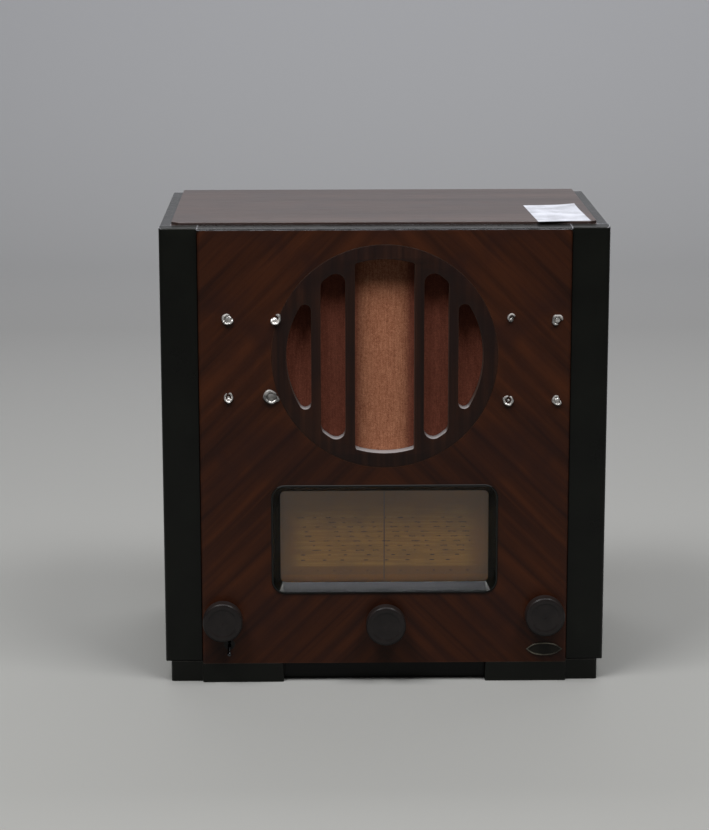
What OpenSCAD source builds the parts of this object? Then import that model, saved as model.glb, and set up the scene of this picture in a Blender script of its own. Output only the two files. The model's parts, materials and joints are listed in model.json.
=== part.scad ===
/* [Cabinet] */
// Overall width of the cabinet
cab_w = 400; // [392:2:430]
// Depth from the faces of the corner posts to the rear edges
cab_d = 250; // [246:2:290]
// Height of the wooden shell above the feet
cab_h = 399; // [397:1:430]
// Thickness of the side boards
side_t = 10; // [8:0.5:12]
// Width of each corner post seen from the front
post_w = 34; // [30:1:36]
// Depth of the corner posts and of the rail along the top front edge
frame_d = 20; // [18:1:24]
// Rounding of the outer vertical edges of the corner posts
post_round = 4; // [2:0.5:6]
// Thickness of the top board
top_t = 14.5; // [12:0.5:16]
// How far the veneered top board stands above the lacquered edges
top_raise = 2.5; // [1:0.5:4]
// Rounding of the corners of the raised top board
top_corner = 8; // [4:1:12]
// Height of the top front rail behind the front panel
rail_h = 14; // [10:1:16]
// Thickness of the rail's lip above the front panel
rail_lip = 1.6; // [1.4:0.2:3]
// Thickness of the base board
base_t = 12; // [10:1:13]
// Width and depth of the cleat along the rear inner edge of each side board
cleat = 12; // [10:1:16]
// Thickness of the rear cover
cover_t = 3; // [2.5:0.5:4]
// How far the rear cover lies inside the rear edges
cover_sink = 2; // [1.8:0.2:3]

/* [Front panel] */
// Thickness of the front panel
panel_t = 13; // [11:0.5:15]
// How far the front panel stands in front of the corner posts
panel_proud = 4; // [2:0.5:5]
// Rounding of the front panel's vertical edges
panel_round = 3; // [1:0.5:4]
// How far the front panel hangs below the shell
panel_drop = 1; // [0:0.5:2]

/* [Feet] */
// Height of the feet
foot_h = 19; // [15:1:25]
// How far the feet stand in from the cabinet's sides
foot_inset = 5; // [3:1:8]
// Width of a front foot along the front
foot_w = 103; // [80:1:120]
// Depth of a foot along the side
foot_side = 62; // [45:1:80]
// Thickness of a foot's two arms
foot_t = 26; // [20:1:30]
// How far the recessed plinth rail stands behind the corner posts
plinth_set = 7; // [5:1:12]
// Thickness of the plinth rail
plinth_t = 12; // [8:1:14]

/* [Grille] */
// Gap between the top edge of the cabinet and the inset veneered disc
grille_top_gap = 14.5; // [13:0.5:18]
// Gap between the inset disc and the dial bezel below it
grille_low_gap = 16.25; // [14:0.25:20]
// Width of the disc's ring round the slots
ring_w = 13; // [11:0.5:15]
// Width of the middle slot
mid_slot_w = 53; // [48:0.5:56]
// Width of the bars between the slots
bar_w = 8.6; // [7:0.2:10]
// Corner rounding of the narrow slots
slot_round = 8.5; // [4:0.5:9]
// Corner rounding of the middle slot
mid_round = 2.5; // [1:0.5:6]
// Gap between the disc and the front panel
disc_gap = 0.15; // [0.05:0.05:0.3]

/* [Loudspeaker] */
// Thickness of the baffle board behind the cloth
baffle_t = 6; // [5:0.5:8]
// Gap between the baffle board's ends and the corner posts
baffle_end_gap = 4; // [2:0.5:8]
// How far the cloth reaches past the grille's opening all round
cloth_margin = 5; // [3:0.5:6]
// Thickness of the loudspeaker cloth
cloth_t = 0.8; // [0.5:0.1:1]
// Gap left on each side of the cloth
cloth_gap = 0.2; // [0.1:0.1:0.3]
// How far the basket's rim lies inside the edge of the grille's disc
basket_inset = 3; // [2:0.5:6]
// Width of the basket's flat rim
basket_rim = 9; // [7:0.5:11]
// Thickness of the basket's metal
basket_t = 1.8; // [1.4:0.2:2.4]
// Depth of the basket behind the baffle
basket_depth = 42; // [38:1:50]
// Width of the rolled surround between the cone and the basket
surround_w = 12; // [11:0.5:16]
// Thickness of the paper cone
cone_t = 0.9; // [0.7:0.1:1.2]
// Radius of the dust cap in the middle of the cone
cap_r = 18; // [16:0.5:22]
// Outer radius of the voice coil
coil_r = 13.4; // [12:0.2:15]
// Thickness of the voice coil with its former
coil_t = 1.2; // [1:0.1:1.5]
// Gap on each side of the voice coil
coil_gap = 0.4; // [0.3:0.05:0.6]
// Radius of the magnet pot
pot_r = 44; // [38:1:46]
// Depth of the magnet pot
pot_d = 50; // [40:1:56]

/* [Dial] */
// Height of the dial's centre above the underside of the shell
dial_rise = 115.5; // [114:0.5:117]
// Width of the dial bezel
bezel_w = 205; // [196:1:206]
// Height of the dial bezel
bezel_h = 101.5; // [96:0.5:103]
// Width of the sloping face of the bezel
bezel_face = 8; // [6:0.5:9]
// Rounding of the bezel's outer corners
bezel_round = 12.5; // [11:0.5:16]
// Depth of the bezel's sloping face behind its rim
bezel_depth = 11; // [9:0.5:12]
// Height of the bezel's rim above the front panel
bezel_rim = 0.8; // [0.5:0.1:1.5]
// Thickness of the dial glass
glass_t = 2; // [1.5:0.1:2.2]
// Distance from the front panel's back to the dial scale
scale_gap = 6; // [5.5:0.5:8]
// Thickness of the dial scale
scale_t = 0.8; // [0.5:0.1:1]
// Thickness of the metal plate that carries the dial
plate_t = 1.2; // [1:0.1:1.6]
// Width of the dial's metal plate
plate_w = 212; // [210:1:220]

/* [Tuning drive] */
// Diameter of the drive cord
cord_d = 1.2; // [0.8:0.1:1.4]
// Radius of the cord's path round the drum
drum_path = 51; // [48:0.5:52]
// Radius of the cord's path round each guide pulley
pulley_path = 7.5; // [7:0.25:8]
// Radius of the cord's path round the tuning spindle
spool_path = 4.25; // [4.1:0.05:4.6]
// Half the distance between the two guide pulleys
pulley_x = 95; // [93:0.5:97]
// Height of the guide pulleys above the dial's centre
pulley_rise = 48.5; // [48:0.5:50]
// Height of the drum's axis above the chassis deck
drum_rise = 45; // [42:0.5:46]
// Gap between the cord and what it runs on
cord_gap = 0.3; // [0.2:0.05:0.4]
// Distance between the cord's plane and the chassis front
drive_gap = 8; // [7.5:0.5:10]

/* [Tuning capacitor] */
// Radius of the moving plates
rotor_r = 24; // [20:0.5:25]
// Number of moving plates in each section
rotor_count = 7; // [4:1:7]
// Distance from one moving plate to the next
plate_pitch = 4; // [3.4:0.1:4.2]
// Thickness of the moving and fixed plates
vane_t = 0.8; // [0.5:0.1:1]
// Radius of the spindle
spindle_r = 3; // [2.5:0.1:3.2]
// Length of the capacitor frame
gang_l = 86; // [84:1:100]
// Width and height of the capacitor frame
gang_w = 64; // [62:1:66]
// Thickness of the frame's sheet metal
gang_t = 1.5; // [1.2:0.1:2]

/* [Controls] */
// Diameter of the three knobs
knob_d = 36; // [32:0.5:36]
// Height of the knobs
knob_h = 13; // [11:0.5:15]
// Radius of the three control shafts
shaft_r = 3; // [2.5:0.1:3.2]
// Distance of the volume control from the edge of the front panel
volume_inset = 19; // [18.5:0.5:22]
// Height of the volume control above the underside of the shell
volume_rise = 41.5; // [40:0.5:43]
// Gap between the volume knob and the front panel
volume_gap = 3; // [1:0.5:4]
// Distance of the waveband switch from the middle of the cabinet
band_x = 1; // [-4:0.5:4]
// Height of the waveband switch above the underside of the shell
band_rise = 38; // [36:0.5:40]
// Gap between the waveband knob and the front panel
band_gap = 4; // [1:0.5:4]
// Distance of the tuning spindle from the edge of the front panel
tuning_inset = 20.5; // [18.5:0.5:23]
// Height of the tuning spindle above the underside of the shell
tuning_rise = 45; // [43:0.5:46]
// Gap between the tuning knob and the front panel
tuning_gap = 1.5; // [1:0.5:4]
// Distance of the small toggle lever from the edge of the front panel
toggle_inset = 24.5; // [22:0.5:27]
// Height of the toggle lever's pivot above the underside of the shell
toggle_rise = 17; // [16.5:0.5:18]
// Length of the toggle lever in front of its pivot
toggle_l = 14.5; // [12:0.5:15]

/* [Chassis] */
// Gap between the chassis and each side board
chassis_side_gap = 25; // [22:1:30]
// Gap between the chassis and the rear cover
chassis_back_gap = 13; // [12:1:20]
// Height of the chassis
chassis_h = 54; // [52:1:56]
// Thickness of the chassis metal
sheet_t = 1.5; // [1:0.1:2]
// Radius of the valve bases
valve_base_r = 17; // [15:0.5:18]
// Height of the valve bases
valve_base_h = 28; // [24:1:32]
// Radius of the valve bulbs
bulb_r = 22; // [20:0.5:24]
// Height of the valve bulbs above their bases
bulb_h = 84; // [70:1:90]
// Bore radius of the rear sockets
socket_bore = 2; // [1.9:0.05:2.2]
// Distance between neighbouring rear sockets
socket_pitch = 19; // [18:0.5:20]
// Bore radius of the mains lead's grommet
lead_r = 3.75; // [3:0.25:4.5]

/* [Hidden] */

$fn = 48;
eps = 0.01;
run_fit = 0.05;
push_fit = 0.03;
seat_gap = 0.3;

// Cabinet planes: y is 0 at the faces of the corner posts, z is 0 at the floor
shell_z = foot_h;
top_z = shell_z + cab_h;
base_top = shell_z + base_t;
top_under = top_z - top_t + top_raise;
inner_x = cab_w/2 - side_t;
panel_x = cab_w/2 - post_w;
panel_face = -panel_proud;
panel_back = panel_t - panel_proud;
cover_y = cab_d - cover_sink - cover_t;
cover_face = cab_d - cover_sink;

// Dial, one plane behind the other
dial_z = shell_z + dial_rise;
rim_lap = 1.5;
bezel_wall = 3;
glass_fit = 0.2;
glass_sink = 0.8;
glass_back_gap = 0.4;
bezel_front = panel_face - bezel_rim;
glass_y = bezel_front + bezel_depth + glass_sink;
bezel_back = glass_y + glass_t + glass_back_gap;
window_w = bezel_w - 2*bezel_face;
window_h = bezel_h - 2*bezel_face;
scale_y = panel_back + scale_gap;
plate_y = scale_y + scale_t;
plate_back = plate_y + plate_t;
plate_low = dial_z - bezel_h/2;
needle_t = 0.8;
needle_gap = 1.8;
needle_y = scale_y - needle_gap - needle_t;
drive_y = plate_back + 5;
pin_r = 2;
lamp_r = 4.4;
lamp_x = plate_w/2 + 8;
lamp_y = panel_back + lamp_r + 0.5;
flange_up = 1.6;
flange_t = 1;
groove_w = 2.4;
groove_lip = cord_d/2 + cord_gap;
pulley_z = dial_z + pulley_rise;
run_z = pulley_z + pulley_path;
plate_lip = 2.5;
plate_top = run_z + plate_lip;

// Grille: the disc fills the room between the dial and the top edge
disc_r = (top_z - grille_top_gap - dial_z - bezel_h/2 - grille_low_gap)/2;
grille_z = top_z - grille_top_gap - disc_r;
opening_r = disc_r - ring_w;
slot_edge = 0.3;
slot_w = (opening_r - slot_edge - mid_slot_w/2 - 2*bar_w)/2;

// Loudspeaker, one plane behind the other
cloth_y = panel_back + cloth_gap;
baffle_y = cloth_y + cloth_t + cloth_gap;
baffle_back = baffle_y + baffle_t;
baffle_top = top_z - rail_h - seat_gap;
baffle_half = panel_x - baffle_end_gap;
basket_r = disc_r - basket_inset;
baffle_skirt = 5;
baffle_low = grille_z - basket_r - baffle_skirt;
cone_r = basket_r - basket_rim - surround_w;
surround_t = 1.8;
rim_y = baffle_back + surround_t;
basket_back = rim_y + basket_depth;
neck_gap = 2;
neck_r = pot_r + neck_gap;
cone_sink = 1.2;
cone_front = baffle_back + cone_sink;
cone_rest = 10;
cone_apex = basket_back - cone_rest;
pole_r = coil_r - coil_t - coil_gap;
gap_r = coil_r + coil_gap;

// Chassis and the controls in front of it
chassis_half = inner_x - chassis_side_gap;
chassis_y = drive_y + drive_gap;
chassis_back = cover_y - chassis_back_gap;
deck_z = base_top + chassis_h;
drum_z = deck_z + drum_rise;
gang_y = chassis_y + 4;
gang_back = gang_y + gang_l;
gang_low = drum_z - gang_w/2 - 1;
section_l = (gang_l - 3*gang_t)/2;
hub_r = spindle_r + 2.5;
stator_x = gang_w/2 - gang_t - 2.5;
stator_h = rotor_r + 1.5;
volume_x = panel_x - volume_inset;
tuning_x = panel_x - tuning_inset;
toggle_x = panel_x - toggle_inset;
volume_z = shell_z + volume_rise;
band_z = shell_z + band_rise;
tuning_z = shell_z + tuning_rise;
toggle_z = shell_z + toggle_rise;
bush_wall = 2;
bush_r = shaft_r + bush_wall;
shaft_hole_r = bush_r + 1;
toggle_sink = 5;
toggle_y = panel_face + toggle_sink;
toggle_bush_r = 5;
toggle_slot_w = 3;
toggle_stem_r = 1.1;
toggle_rest = 28;
can_r = 15.5;
can_l = 18;
wafer_r = 17;
wafer_bore = 8.5;
switch_l = 26;

// Sizes of what stands on the deck
valve_foot = 4;
valve_pin_at = 6.5;
valve_pin_r = 1.2;
bulb_wall = 1.2;
coil_can_r = 18;
coil_can_h = 78;
smoother_r = 17;
smoother_h = 66;
trafo_size = [76, 58, 66];
trafo_foot = 3;
output_trafo_size = [44, 30, 38];
strip_t = 3;
screw_head_r = 3.6;
screw_head_h = 1.6;

// Places on the chassis deck: outer pieces follow its ends, rear ones its rear edge
valve_in = 47;
valve_front_y = chassis_y + 58;
valve_rear_y = chassis_back - 74;
valve_places = [[chassis_half - valve_in, valve_front_y], [14, valve_rear_y],
    [-44, valve_rear_y], [valve_in - chassis_half, valve_front_y]];
can_in = 53;
can_pitch = 46;
can_y = chassis_back - 66;
can_places = [[chassis_half - can_in - can_pitch, can_y], [chassis_half - can_in, can_y]];
smoother_x = 64;
smoother_y = chassis_y + 66;
smoother_places = [[-smoother_x, smoother_y], [smoother_x, smoother_y]];
trafo_at = [49 - chassis_half, chassis_back - 64];
output_trafo_at = [-30, chassis_back - 26];
socket_in = 42;
socket_count = 4;
socket_places = [for (i = [0:socket_count - 1]) chassis_half - socket_in - i*socket_pitch];
socket_mid = (socket_places[0] + socket_places[socket_count - 1])/2;
socket_span = (socket_count - 1)*socket_pitch;
socket_drop = 26;
socket_z = deck_z - socket_drop;
lead_in = 58;
lead_rise = 44;
lead_at = [lead_in - inner_x, shell_z + lead_rise];

// Fixings beside the grille: place across, height above its centre, radius of the cup washer
fixings = [[-panel_x + 26.5, 34.5, 4.9], [-disc_r + 3.5, 34, 4.6], [-panel_x + 26, -36.5, 4.2],
    [-disc_r, -36, 6.2], [disc_r + 12, 34.5, 3.6], [panel_x - 12, 32.5, 5.2],
    [disc_r + 9.5, -40, 4.6], [panel_x - 11.5, -40, 4.7]];
fixing_r = 1.2;
screw_r = 1.5;
screw_bite = 8;
cover_screw_in = 30;
cover_screw_z = [base_top + cover_screw_in, (base_top + top_under)/2, top_under - cover_screw_in];
bolt_in = 12;
bolt_x = chassis_half - bolt_in;
bolt_end = 22;
bolt_y = [chassis_y + bolt_end, chassis_back - bolt_end];

// The origin lies under the middle of the whole object's depth
knob_reach = panel_proud + knob_h + max(volume_gap, band_gap, tuning_gap);
depth_shift = (knob_reach - cab_d)/2;

// Placing helpers: a flat shape drawn in the two other axes is pushed along the named one
module along_x(x0, x1) { translate([x0, 0, 0]) rotate([90, 0, 90]) linear_extrude(x1 - x0) children(); }
module along_y(y0, y1) { translate([0, y1, 0]) rotate([90, 0, 0]) linear_extrude(y1 - y0) children(); }
module along_z(z0, z1) { translate([0, 0, z0]) linear_extrude(z1 - z0) children(); }
// A profile of radius and depth is turned about a line parallel to y, or of radius and height about z
module turned_y(x, z) { translate([x, 0, z]) rotate([-90, 0, 0]) rotate_extrude() children(); }
module turned_z(x, y) { translate([x, y, 0]) rotate_extrude() children(); }
module rod_y(x, z, r, y0, y1) { translate([x, y0, z]) rotate([-90, 0, 0]) cylinder(h = y1 - y0, r = r); }
module rod_z(x, y, r, z0, z1) { translate([x, y, z0]) cylinder(h = z1 - z0, r = r); }
module block(a, b) { translate(a) cube(b - a); }
module rect(a, b) { translate(a) square(b - a); }

// A rectangle whose corners are rounded one by one: low left, low right, high right, high left
module soft_rect(a, b, rounds) {
    corners = [[a, [1, 1]], [[b[0], a[1]], [-1, 1]], [b, [-1, -1]], [[a[0], b[1]], [1, -1]]];
    difference() {
        rect(a, b);
        for (i = [0:3]) if (rounds[i] > 0) {
            r = rounds[i];
            p = corners[i][0];
            s = corners[i][1];
            difference() {
                translate([p[0] + (s[0] < 0 ? 0 : -1), p[1] + (s[1] < 0 ? 0 : -1)])
                    translate([s[0] < 0 ? -r : 0, s[1] < 0 ? -r : 0]) square(r + 1);
                translate([p[0] + s[0]*r, p[1] + s[1]*r]) circle(r);
            }
        }
    }
}
module round_rect(w, h, r) soft_rect([-w/2, -h/2], [w/2, h/2], [r, r, r, r]);

// Cabinet boards
board_soft = 1;
board_soft_top = 1.5;
top_soft = 0.9;
module side_panel(s) color("#141416") mirror([s < 0 ? 1 : 0, 0, 0]) {
    union() {
        along_y(frame_d, cab_d)
            soft_rect([inner_x, shell_z], [cab_w/2, top_z], [0, board_soft, board_soft_top, 0]);
        difference() {
            block([inner_x - cleat, cover_y - cleat, base_top], [inner_x + eps, cover_y, top_under]);
            for (z = cover_screw_z)
                rod_y(inner_x - cleat/2, z, screw_r + push_fit, cover_y - screw_bite, cover_y + 1);
        }
    }
}
module corner_post(s) color("#121213") mirror([s < 0 ? 1 : 0, 0, 0]) {
    intersection() {
        along_z(shell_z, top_z)
            soft_rect([panel_x, 0], [cab_w/2, frame_d], [board_soft, post_round, 0, 0]);
        along_x(panel_x, cab_w/2)
            soft_rect([0, shell_z], [frame_d, top_z], [board_soft_top, 0, 0, board_soft_top]);
    }
}
module top_panel() color("#5b4038") {
    union() {
        block([-inner_x, frame_d, top_under], [inner_x, cab_d, top_z]);
        intersection() {
            along_z(top_z - eps, top_z + top_raise)
                soft_rect([-inner_x, frame_d], [inner_x, cab_d],
                    [top_corner, top_corner, top_corner/2, top_corner/2]);
            along_y(frame_d, cab_d)
                soft_rect([-inner_x, top_under], [inner_x, top_z + top_raise], [0, 0, top_soft, top_soft]);
            along_x(-inner_x, inner_x)
                soft_rect([frame_d, top_under], [cab_d, top_z + top_raise], [0, 0, top_soft, top_soft]);
        }
    }
}
lip_soft = 1.3;
module front_top_rail() color("#1a1918") {
    along_x(-panel_x, panel_x) {
        soft_rect([panel_face, top_z - rail_lip], [frame_d, top_z], [0, 0, 0, lip_soft]);
        rect([panel_back, top_z - rail_h], [frame_d, top_z - rail_lip + eps]);
    }
}
module base_board() color("#8a6a45") {
    difference() {
        block([-inner_x, panel_back, shell_z], [inner_x, cab_d, base_top]);
        for (m = [0, 1]) mirror([m, 0, 0])
            block([panel_x, panel_back - 1, shell_z - 1], [inner_x + 1, frame_d, base_top + 1]);
        for (x = [-bolt_x, bolt_x], y = bolt_y) rod_z(x, y, screw_r + push_fit, shell_z - 1, base_top + 1);
    }
}

// Slot outlines follow the opening circle and have rounded ends
module slot_corner_cut(edge, side, r) {
    cx = edge - side*r;
    cy = sqrt(pow(opening_r - r, 2) - cx*cx);
    far = (opening_r + 2)/(opening_r - r);
    polygon([[cx, cy], [edge + side, cy], [edge + side, opening_r + 2], [cx*far, cy*far]]);
}
module slot_corner_fill(edge, side, r) {
    cx = edge - side*r;
    translate([cx, sqrt(pow(opening_r - r, 2) - cx*cx)]) circle(r);
}
module slot_outline(x0, x1, r) {
    ends = x1 < opening_r ? [[x0, -1], [x1, 1]] : [[x0, -1]];
    difference() {
        intersection() {
            circle(opening_r);
            rect([x0, -opening_r], [x1, opening_r]);
        }
        for (m = [0, 1], e = ends) mirror([0, m]) slot_corner_cut(e[0], e[1], r);
    }
    for (m = [0, 1], e = ends) mirror([0, m]) slot_corner_fill(e[0], e[1], r);
}
module mid_slot_outline() {
    edge = mid_slot_w/2;
    difference() {
        intersection() {
            circle(opening_r);
            rect([-edge, -opening_r], [edge, opening_r]);
        }
        for (mx = [0, 1], mz = [0, 1]) mirror([mx, 0]) mirror([0, mz]) slot_corner_cut(edge, 1, mid_round);
    }
    for (mx = [0, 1], mz = [0, 1]) mirror([mx, 0]) mirror([0, mz]) slot_corner_fill(edge, 1, mid_round);
}
module slot_set() {
    near_x = mid_slot_w/2 + bar_w;
    far_x = near_x + slot_w + bar_w;
    mid_slot_outline();
    for (mx = [0, 1]) mirror([mx, 0]) {
        slot_outline(near_x, near_x + slot_w, slot_round);
        slot_outline(far_x, opening_r, slot_round);
    }
}
module grille_disc() color("#2a1a14") {
    along_y(panel_face, panel_back) translate([0, grille_z]) difference() {
        circle(disc_r, $fn = 96);
        slot_set();
    }
}
module front_panel() color("#3a1f16") {
    difference() {
        along_z(shell_z - panel_drop, top_z - rail_lip)
            soft_rect([-panel_x, panel_face], [panel_x, panel_back], [panel_round, panel_round, 0, 0]);
        rod_y(0, grille_z, disc_r + disc_gap, panel_face - 1, panel_back + 1, $fn = 96);
        along_y(panel_face - 1, panel_back + 1) translate([0, dial_z])
            round_rect(bezel_w - 2*rim_lap + 2*glass_fit, bezel_h - 2*rim_lap + 2*glass_fit,
                bezel_round - rim_lap + glass_fit);
        for (p = [[-volume_x, volume_z], [band_x, band_z], [tuning_x, tuning_z]])
            rod_y(p[0], p[1], shaft_hole_r, panel_face - 1, panel_back + 1);
        rod_y(-toggle_x, toggle_z, toggle_bush_r + push_fit, panel_face - 1, panel_back + 1);
        for (p = fixings)
            rod_y(p[0], grille_z + p[1], fixing_r + push_fit, panel_face - 1, panel_back + 1);
    }
}
plinth_lap = 4;
plinth_lift = 0.5;
module plinth_rail() color("#0f0f0f") {
    inner_end = cab_w/2 - foot_inset - foot_w + plinth_lap;
    difference() {
        block([-inner_end, plinth_set, plinth_lift], [inner_end, plinth_set + plinth_t, shell_z]);
        block([-inner_end - 1, 0, shell_z - panel_drop], [inner_end + 1, panel_back, shell_z + 1]);
    }
}

// Feet: the front pair steps forward where the front panel does
foot_in_round = 2;
foot_out_round = 3;
foot_join = 4;
module foot_front(s) color("#161615") mirror([s < 0 ? 1 : 0, 0, 0]) {
    out_x = cab_w/2 - foot_inset;
    in_x = out_x - foot_w;
    difference() {
        along_z(0, shell_z) {
            soft_rect([in_x, panel_face], [panel_x, foot_t], [foot_in_round, foot_in_round, 0, 0]);
            soft_rect([panel_x - foot_join, 0], [out_x, foot_t], [0, foot_out_round, 0, 0]);
            rect([out_x - foot_t, foot_join], [out_x, foot_side]);
        }
        block([in_x - 1, panel_face - 1, shell_z - panel_drop], [panel_x, panel_back, shell_z + 1]);
        block([in_x - 1, plinth_set, -1], [in_x + plinth_lap, plinth_set + plinth_t, shell_z + 1]);
    }
}
module rear_feet() color("#161615") {
    out_x = cab_w/2 - foot_inset;
    out_y = cab_d - foot_inset;
    for (s = [0, 1]) mirror([s, 0, 0]) along_z(0, shell_z) {
        soft_rect([out_x - foot_side, out_y - foot_t], [out_x, out_y],
            [0, 0, foot_out_round, foot_out_round]);
        rect([out_x - foot_t, out_y - foot_side], [out_x, out_y - foot_out_round]);
    }
}

// Loudspeaker and its cloth
module speaker_cloth() color("#9c6046") {
    reach = opening_r + cloth_margin;
    block([-reach, cloth_y, grille_z - reach], [reach, cloth_y + cloth_t, grille_z + reach]);
}
module speaker_baffle() color("#a8875c") {
    difference() {
        block([-baffle_half, baffle_y, baffle_low], [baffle_half, baffle_back, baffle_top]);
        rod_y(0, grille_z, opening_r, baffle_y - 1, baffle_back + 1, $fn = 96);
        for (p = fixings)
            rod_y(p[0], grille_z + p[1], fixing_r + push_fit, baffle_y - 1, baffle_back + 1);
    }
}
basket_step = 5;
basket_seat_w = 4;
window_count = 6;
window_half = 19;
window_round = 7;
window_low = 6;
window_far = 44;
window_front = 9;
window_back = 5;
mount_hole_r = 2.2;
module speaker_basket() color("#2e3330") {
    wall_in = basket_r - basket_rim;
    mount_at = basket_r - basket_rim/2;
    difference() {
        turned_y(0, grille_z) {
            rect([wall_in - basket_t, rim_y], [basket_r, rim_y + basket_t]);
            polygon([[wall_in - basket_t, rim_y], [wall_in, rim_y], [wall_in, rim_y + basket_step],
                [neck_r, basket_back], [neck_r - basket_t, basket_back],
                [wall_in - basket_t, rim_y + basket_step]]);
            rect([gap_r + basket_seat_w, basket_back - basket_t], [neck_r, basket_back]);
        }
        for (a = [0:360/window_count:359]) translate([0, 0, grille_z]) rotate([0, a, 0])
            along_y(rim_y + window_front, basket_back - window_back)
                soft_rect([-window_half, neck_r + window_low], [window_half, neck_r + window_far],
                    [window_round, window_round, 0, 0]);
        for (a = [45:90:315]) rod_y(mount_at*cos(a), grille_z + mount_at*sin(a), mount_hole_r,
            rim_y - 1, rim_y + basket_t + 1);
    }
}
roll_r = 4;
roll_wall = 1;
roll_seat = 0.5;
spider_set = 6;
spider_out = 8;
spider_foot = 3;
spider_wave = 1.6;
spider_t = 0.8;
spider_waves = 6;
module speaker_surround() color("#3b3430") {
    roll_at = cone_r + roll_seat + roll_r;
    spider_y = basket_back - spider_set;
    seat_y = basket_back - basket_t;
    wave = (neck_r - spider_out - gap_r)/spider_waves;
    turned_y(0, grille_z) {
        difference() {
            union() {
                rect([roll_at, baffle_back], [basket_r - 1, rim_y]);
                translate([roll_at, rim_y]) circle(roll_r);
            }
            translate([roll_at, rim_y]) circle(roll_r - roll_wall);
            rect([roll_at - roll_r - 1, baffle_back - roll_r], [roll_at + roll_r, baffle_back]);
            rect([roll_at - roll_r - 1, baffle_back - 1], [roll_at + roll_r - roll_wall, rim_y]);
        }
        polygon(concat([for (i = [0:spider_waves]) [gap_r + i*wave, spider_y + (i % 2)*spider_wave]],
            [[neck_r - spider_foot, spider_y], [neck_r - spider_foot, seat_y],
                [neck_r - spider_out, seat_y]],
            [for (i = [spider_waves:-1:0])
                [gap_r + i*wave, spider_y + (i % 2)*spider_wave + spider_t]]));
    }
}
cap_h = 5;
cap_lap = 0.4;
cone_neck = 2;
cone_neck_t = 1;
module speaker_cone() color("#1f1c19") {
    fall = (cone_apex - cone_front)/(cone_r - coil_r);
    cap_y = cone_front + (cone_r - cap_r)*fall;
    cap_sphere = (cap_r*cap_r + cap_h*cap_h)/(2*cap_h);
    turned_y(0, grille_z) {
        polygon([[cone_r, cone_front], [cone_r, cone_front + cone_t],
            [coil_r + cone_neck_t, cone_apex + cone_neck], [coil_r + push_fit, cone_apex + cone_neck],
            [coil_r + push_fit, cone_apex]]);
        intersection() {
            translate([0, cap_y - cap_h + cap_sphere]) difference() {
                circle(cap_sphere);
                circle(cap_sphere - cone_t);
            }
            rect([0, cap_y - cap_h - 1], [cap_sphere, cap_y + cap_lap]);
        }
    }
}
coil_reach = 8;
module voice_coil() color("#9a5a2a") {
    turned_y(0, grille_z) rect([coil_r - coil_t, cone_apex], [coil_r, basket_back + coil_reach]);
}
groove_d = 12;
pot_edge = 2;
pot_back_edge = 3;
module speaker_magnet() color("#3c3f42") {
    turned_y(0, grille_z) difference() {
        soft_rect([-1, basket_back], [pot_r, basket_back + pot_d], [0, pot_edge, pot_back_edge, 0]);
        rect([-2, basket_back - 1], [0, basket_back + pot_d + 1]);
        rect([pole_r, basket_back - 1], [gap_r, basket_back + groove_d]);
    }
}

// Dial bezel: one moulding profile runs round the window, turned at the corners
bezel_edge = 0.5;
bezel_flat = 1.6;
bezel_points = [[0, bezel_front + bezel_edge], [bezel_edge, bezel_front], [bezel_flat, bezel_front],
    [bezel_face, bezel_front + bezel_depth], [bezel_face, glass_y], [bezel_wall + rim_lap, glass_y],
    [bezel_wall + rim_lap, bezel_back], [rim_lap, bezel_back], [rim_lap, panel_face], [0, panel_face]];
module dial_bezel() color("#15181a") {
    half_w = bezel_w/2;
    half_h = bezel_h/2;
    straight_w = half_w - bezel_round;
    straight_h = half_h - bezel_round;
    translate([0, 0, dial_z]) union() {
        for (m = [0, 1]) mirror([0, 0, m]) along_x(-straight_w, straight_w)
            polygon([for (p = bezel_points) [p[1], half_h - p[0]]]);
        for (m = [0, 1]) mirror([m, 0, 0]) along_z(-straight_h, straight_h)
            polygon([for (p = bezel_points) [half_w - p[0], p[1]]]);
        for (mx = [0, 1], mz = [0, 1]) mirror([mx, 0, 0]) mirror([0, 0, mz])
            translate([straight_w, 0, straight_h]) rotate([90, 0, 0]) rotate_extrude(angle = 90)
                polygon([for (p = bezel_points) [bezel_round - p[0], -p[1]]]);
    }
}
module dial_glass() color([0.8, 0.85, 0.85, 0.35]) {
    margin = bezel_wall + rim_lap + glass_fit;
    along_y(glass_y, glass_y + glass_t) translate([0, dial_z])
        round_rect(bezel_w - 2*margin, bezel_h - 2*margin, bezel_round - margin);
}
scale_lap_x = 4.5;
scale_lap_z = 4;
scale_round = 3;
module dial_scale() color("#b08a5a") {
    along_y(scale_y, plate_y) translate([0, dial_z])
        round_rect(window_w + 2*scale_lap_x, window_h + 2*scale_lap_z, scale_round);
}
leg_in = 30;
leg_w = 14;
leg_lap = 10;
pin_boss_r = 3.5;
pin_reach = 4;
pin_head = 1.5;
lamp_arm_low = 16;
lamp_arm_top = 10;
lamp_cup_low = 20;
spindle_clear = 2;
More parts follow.
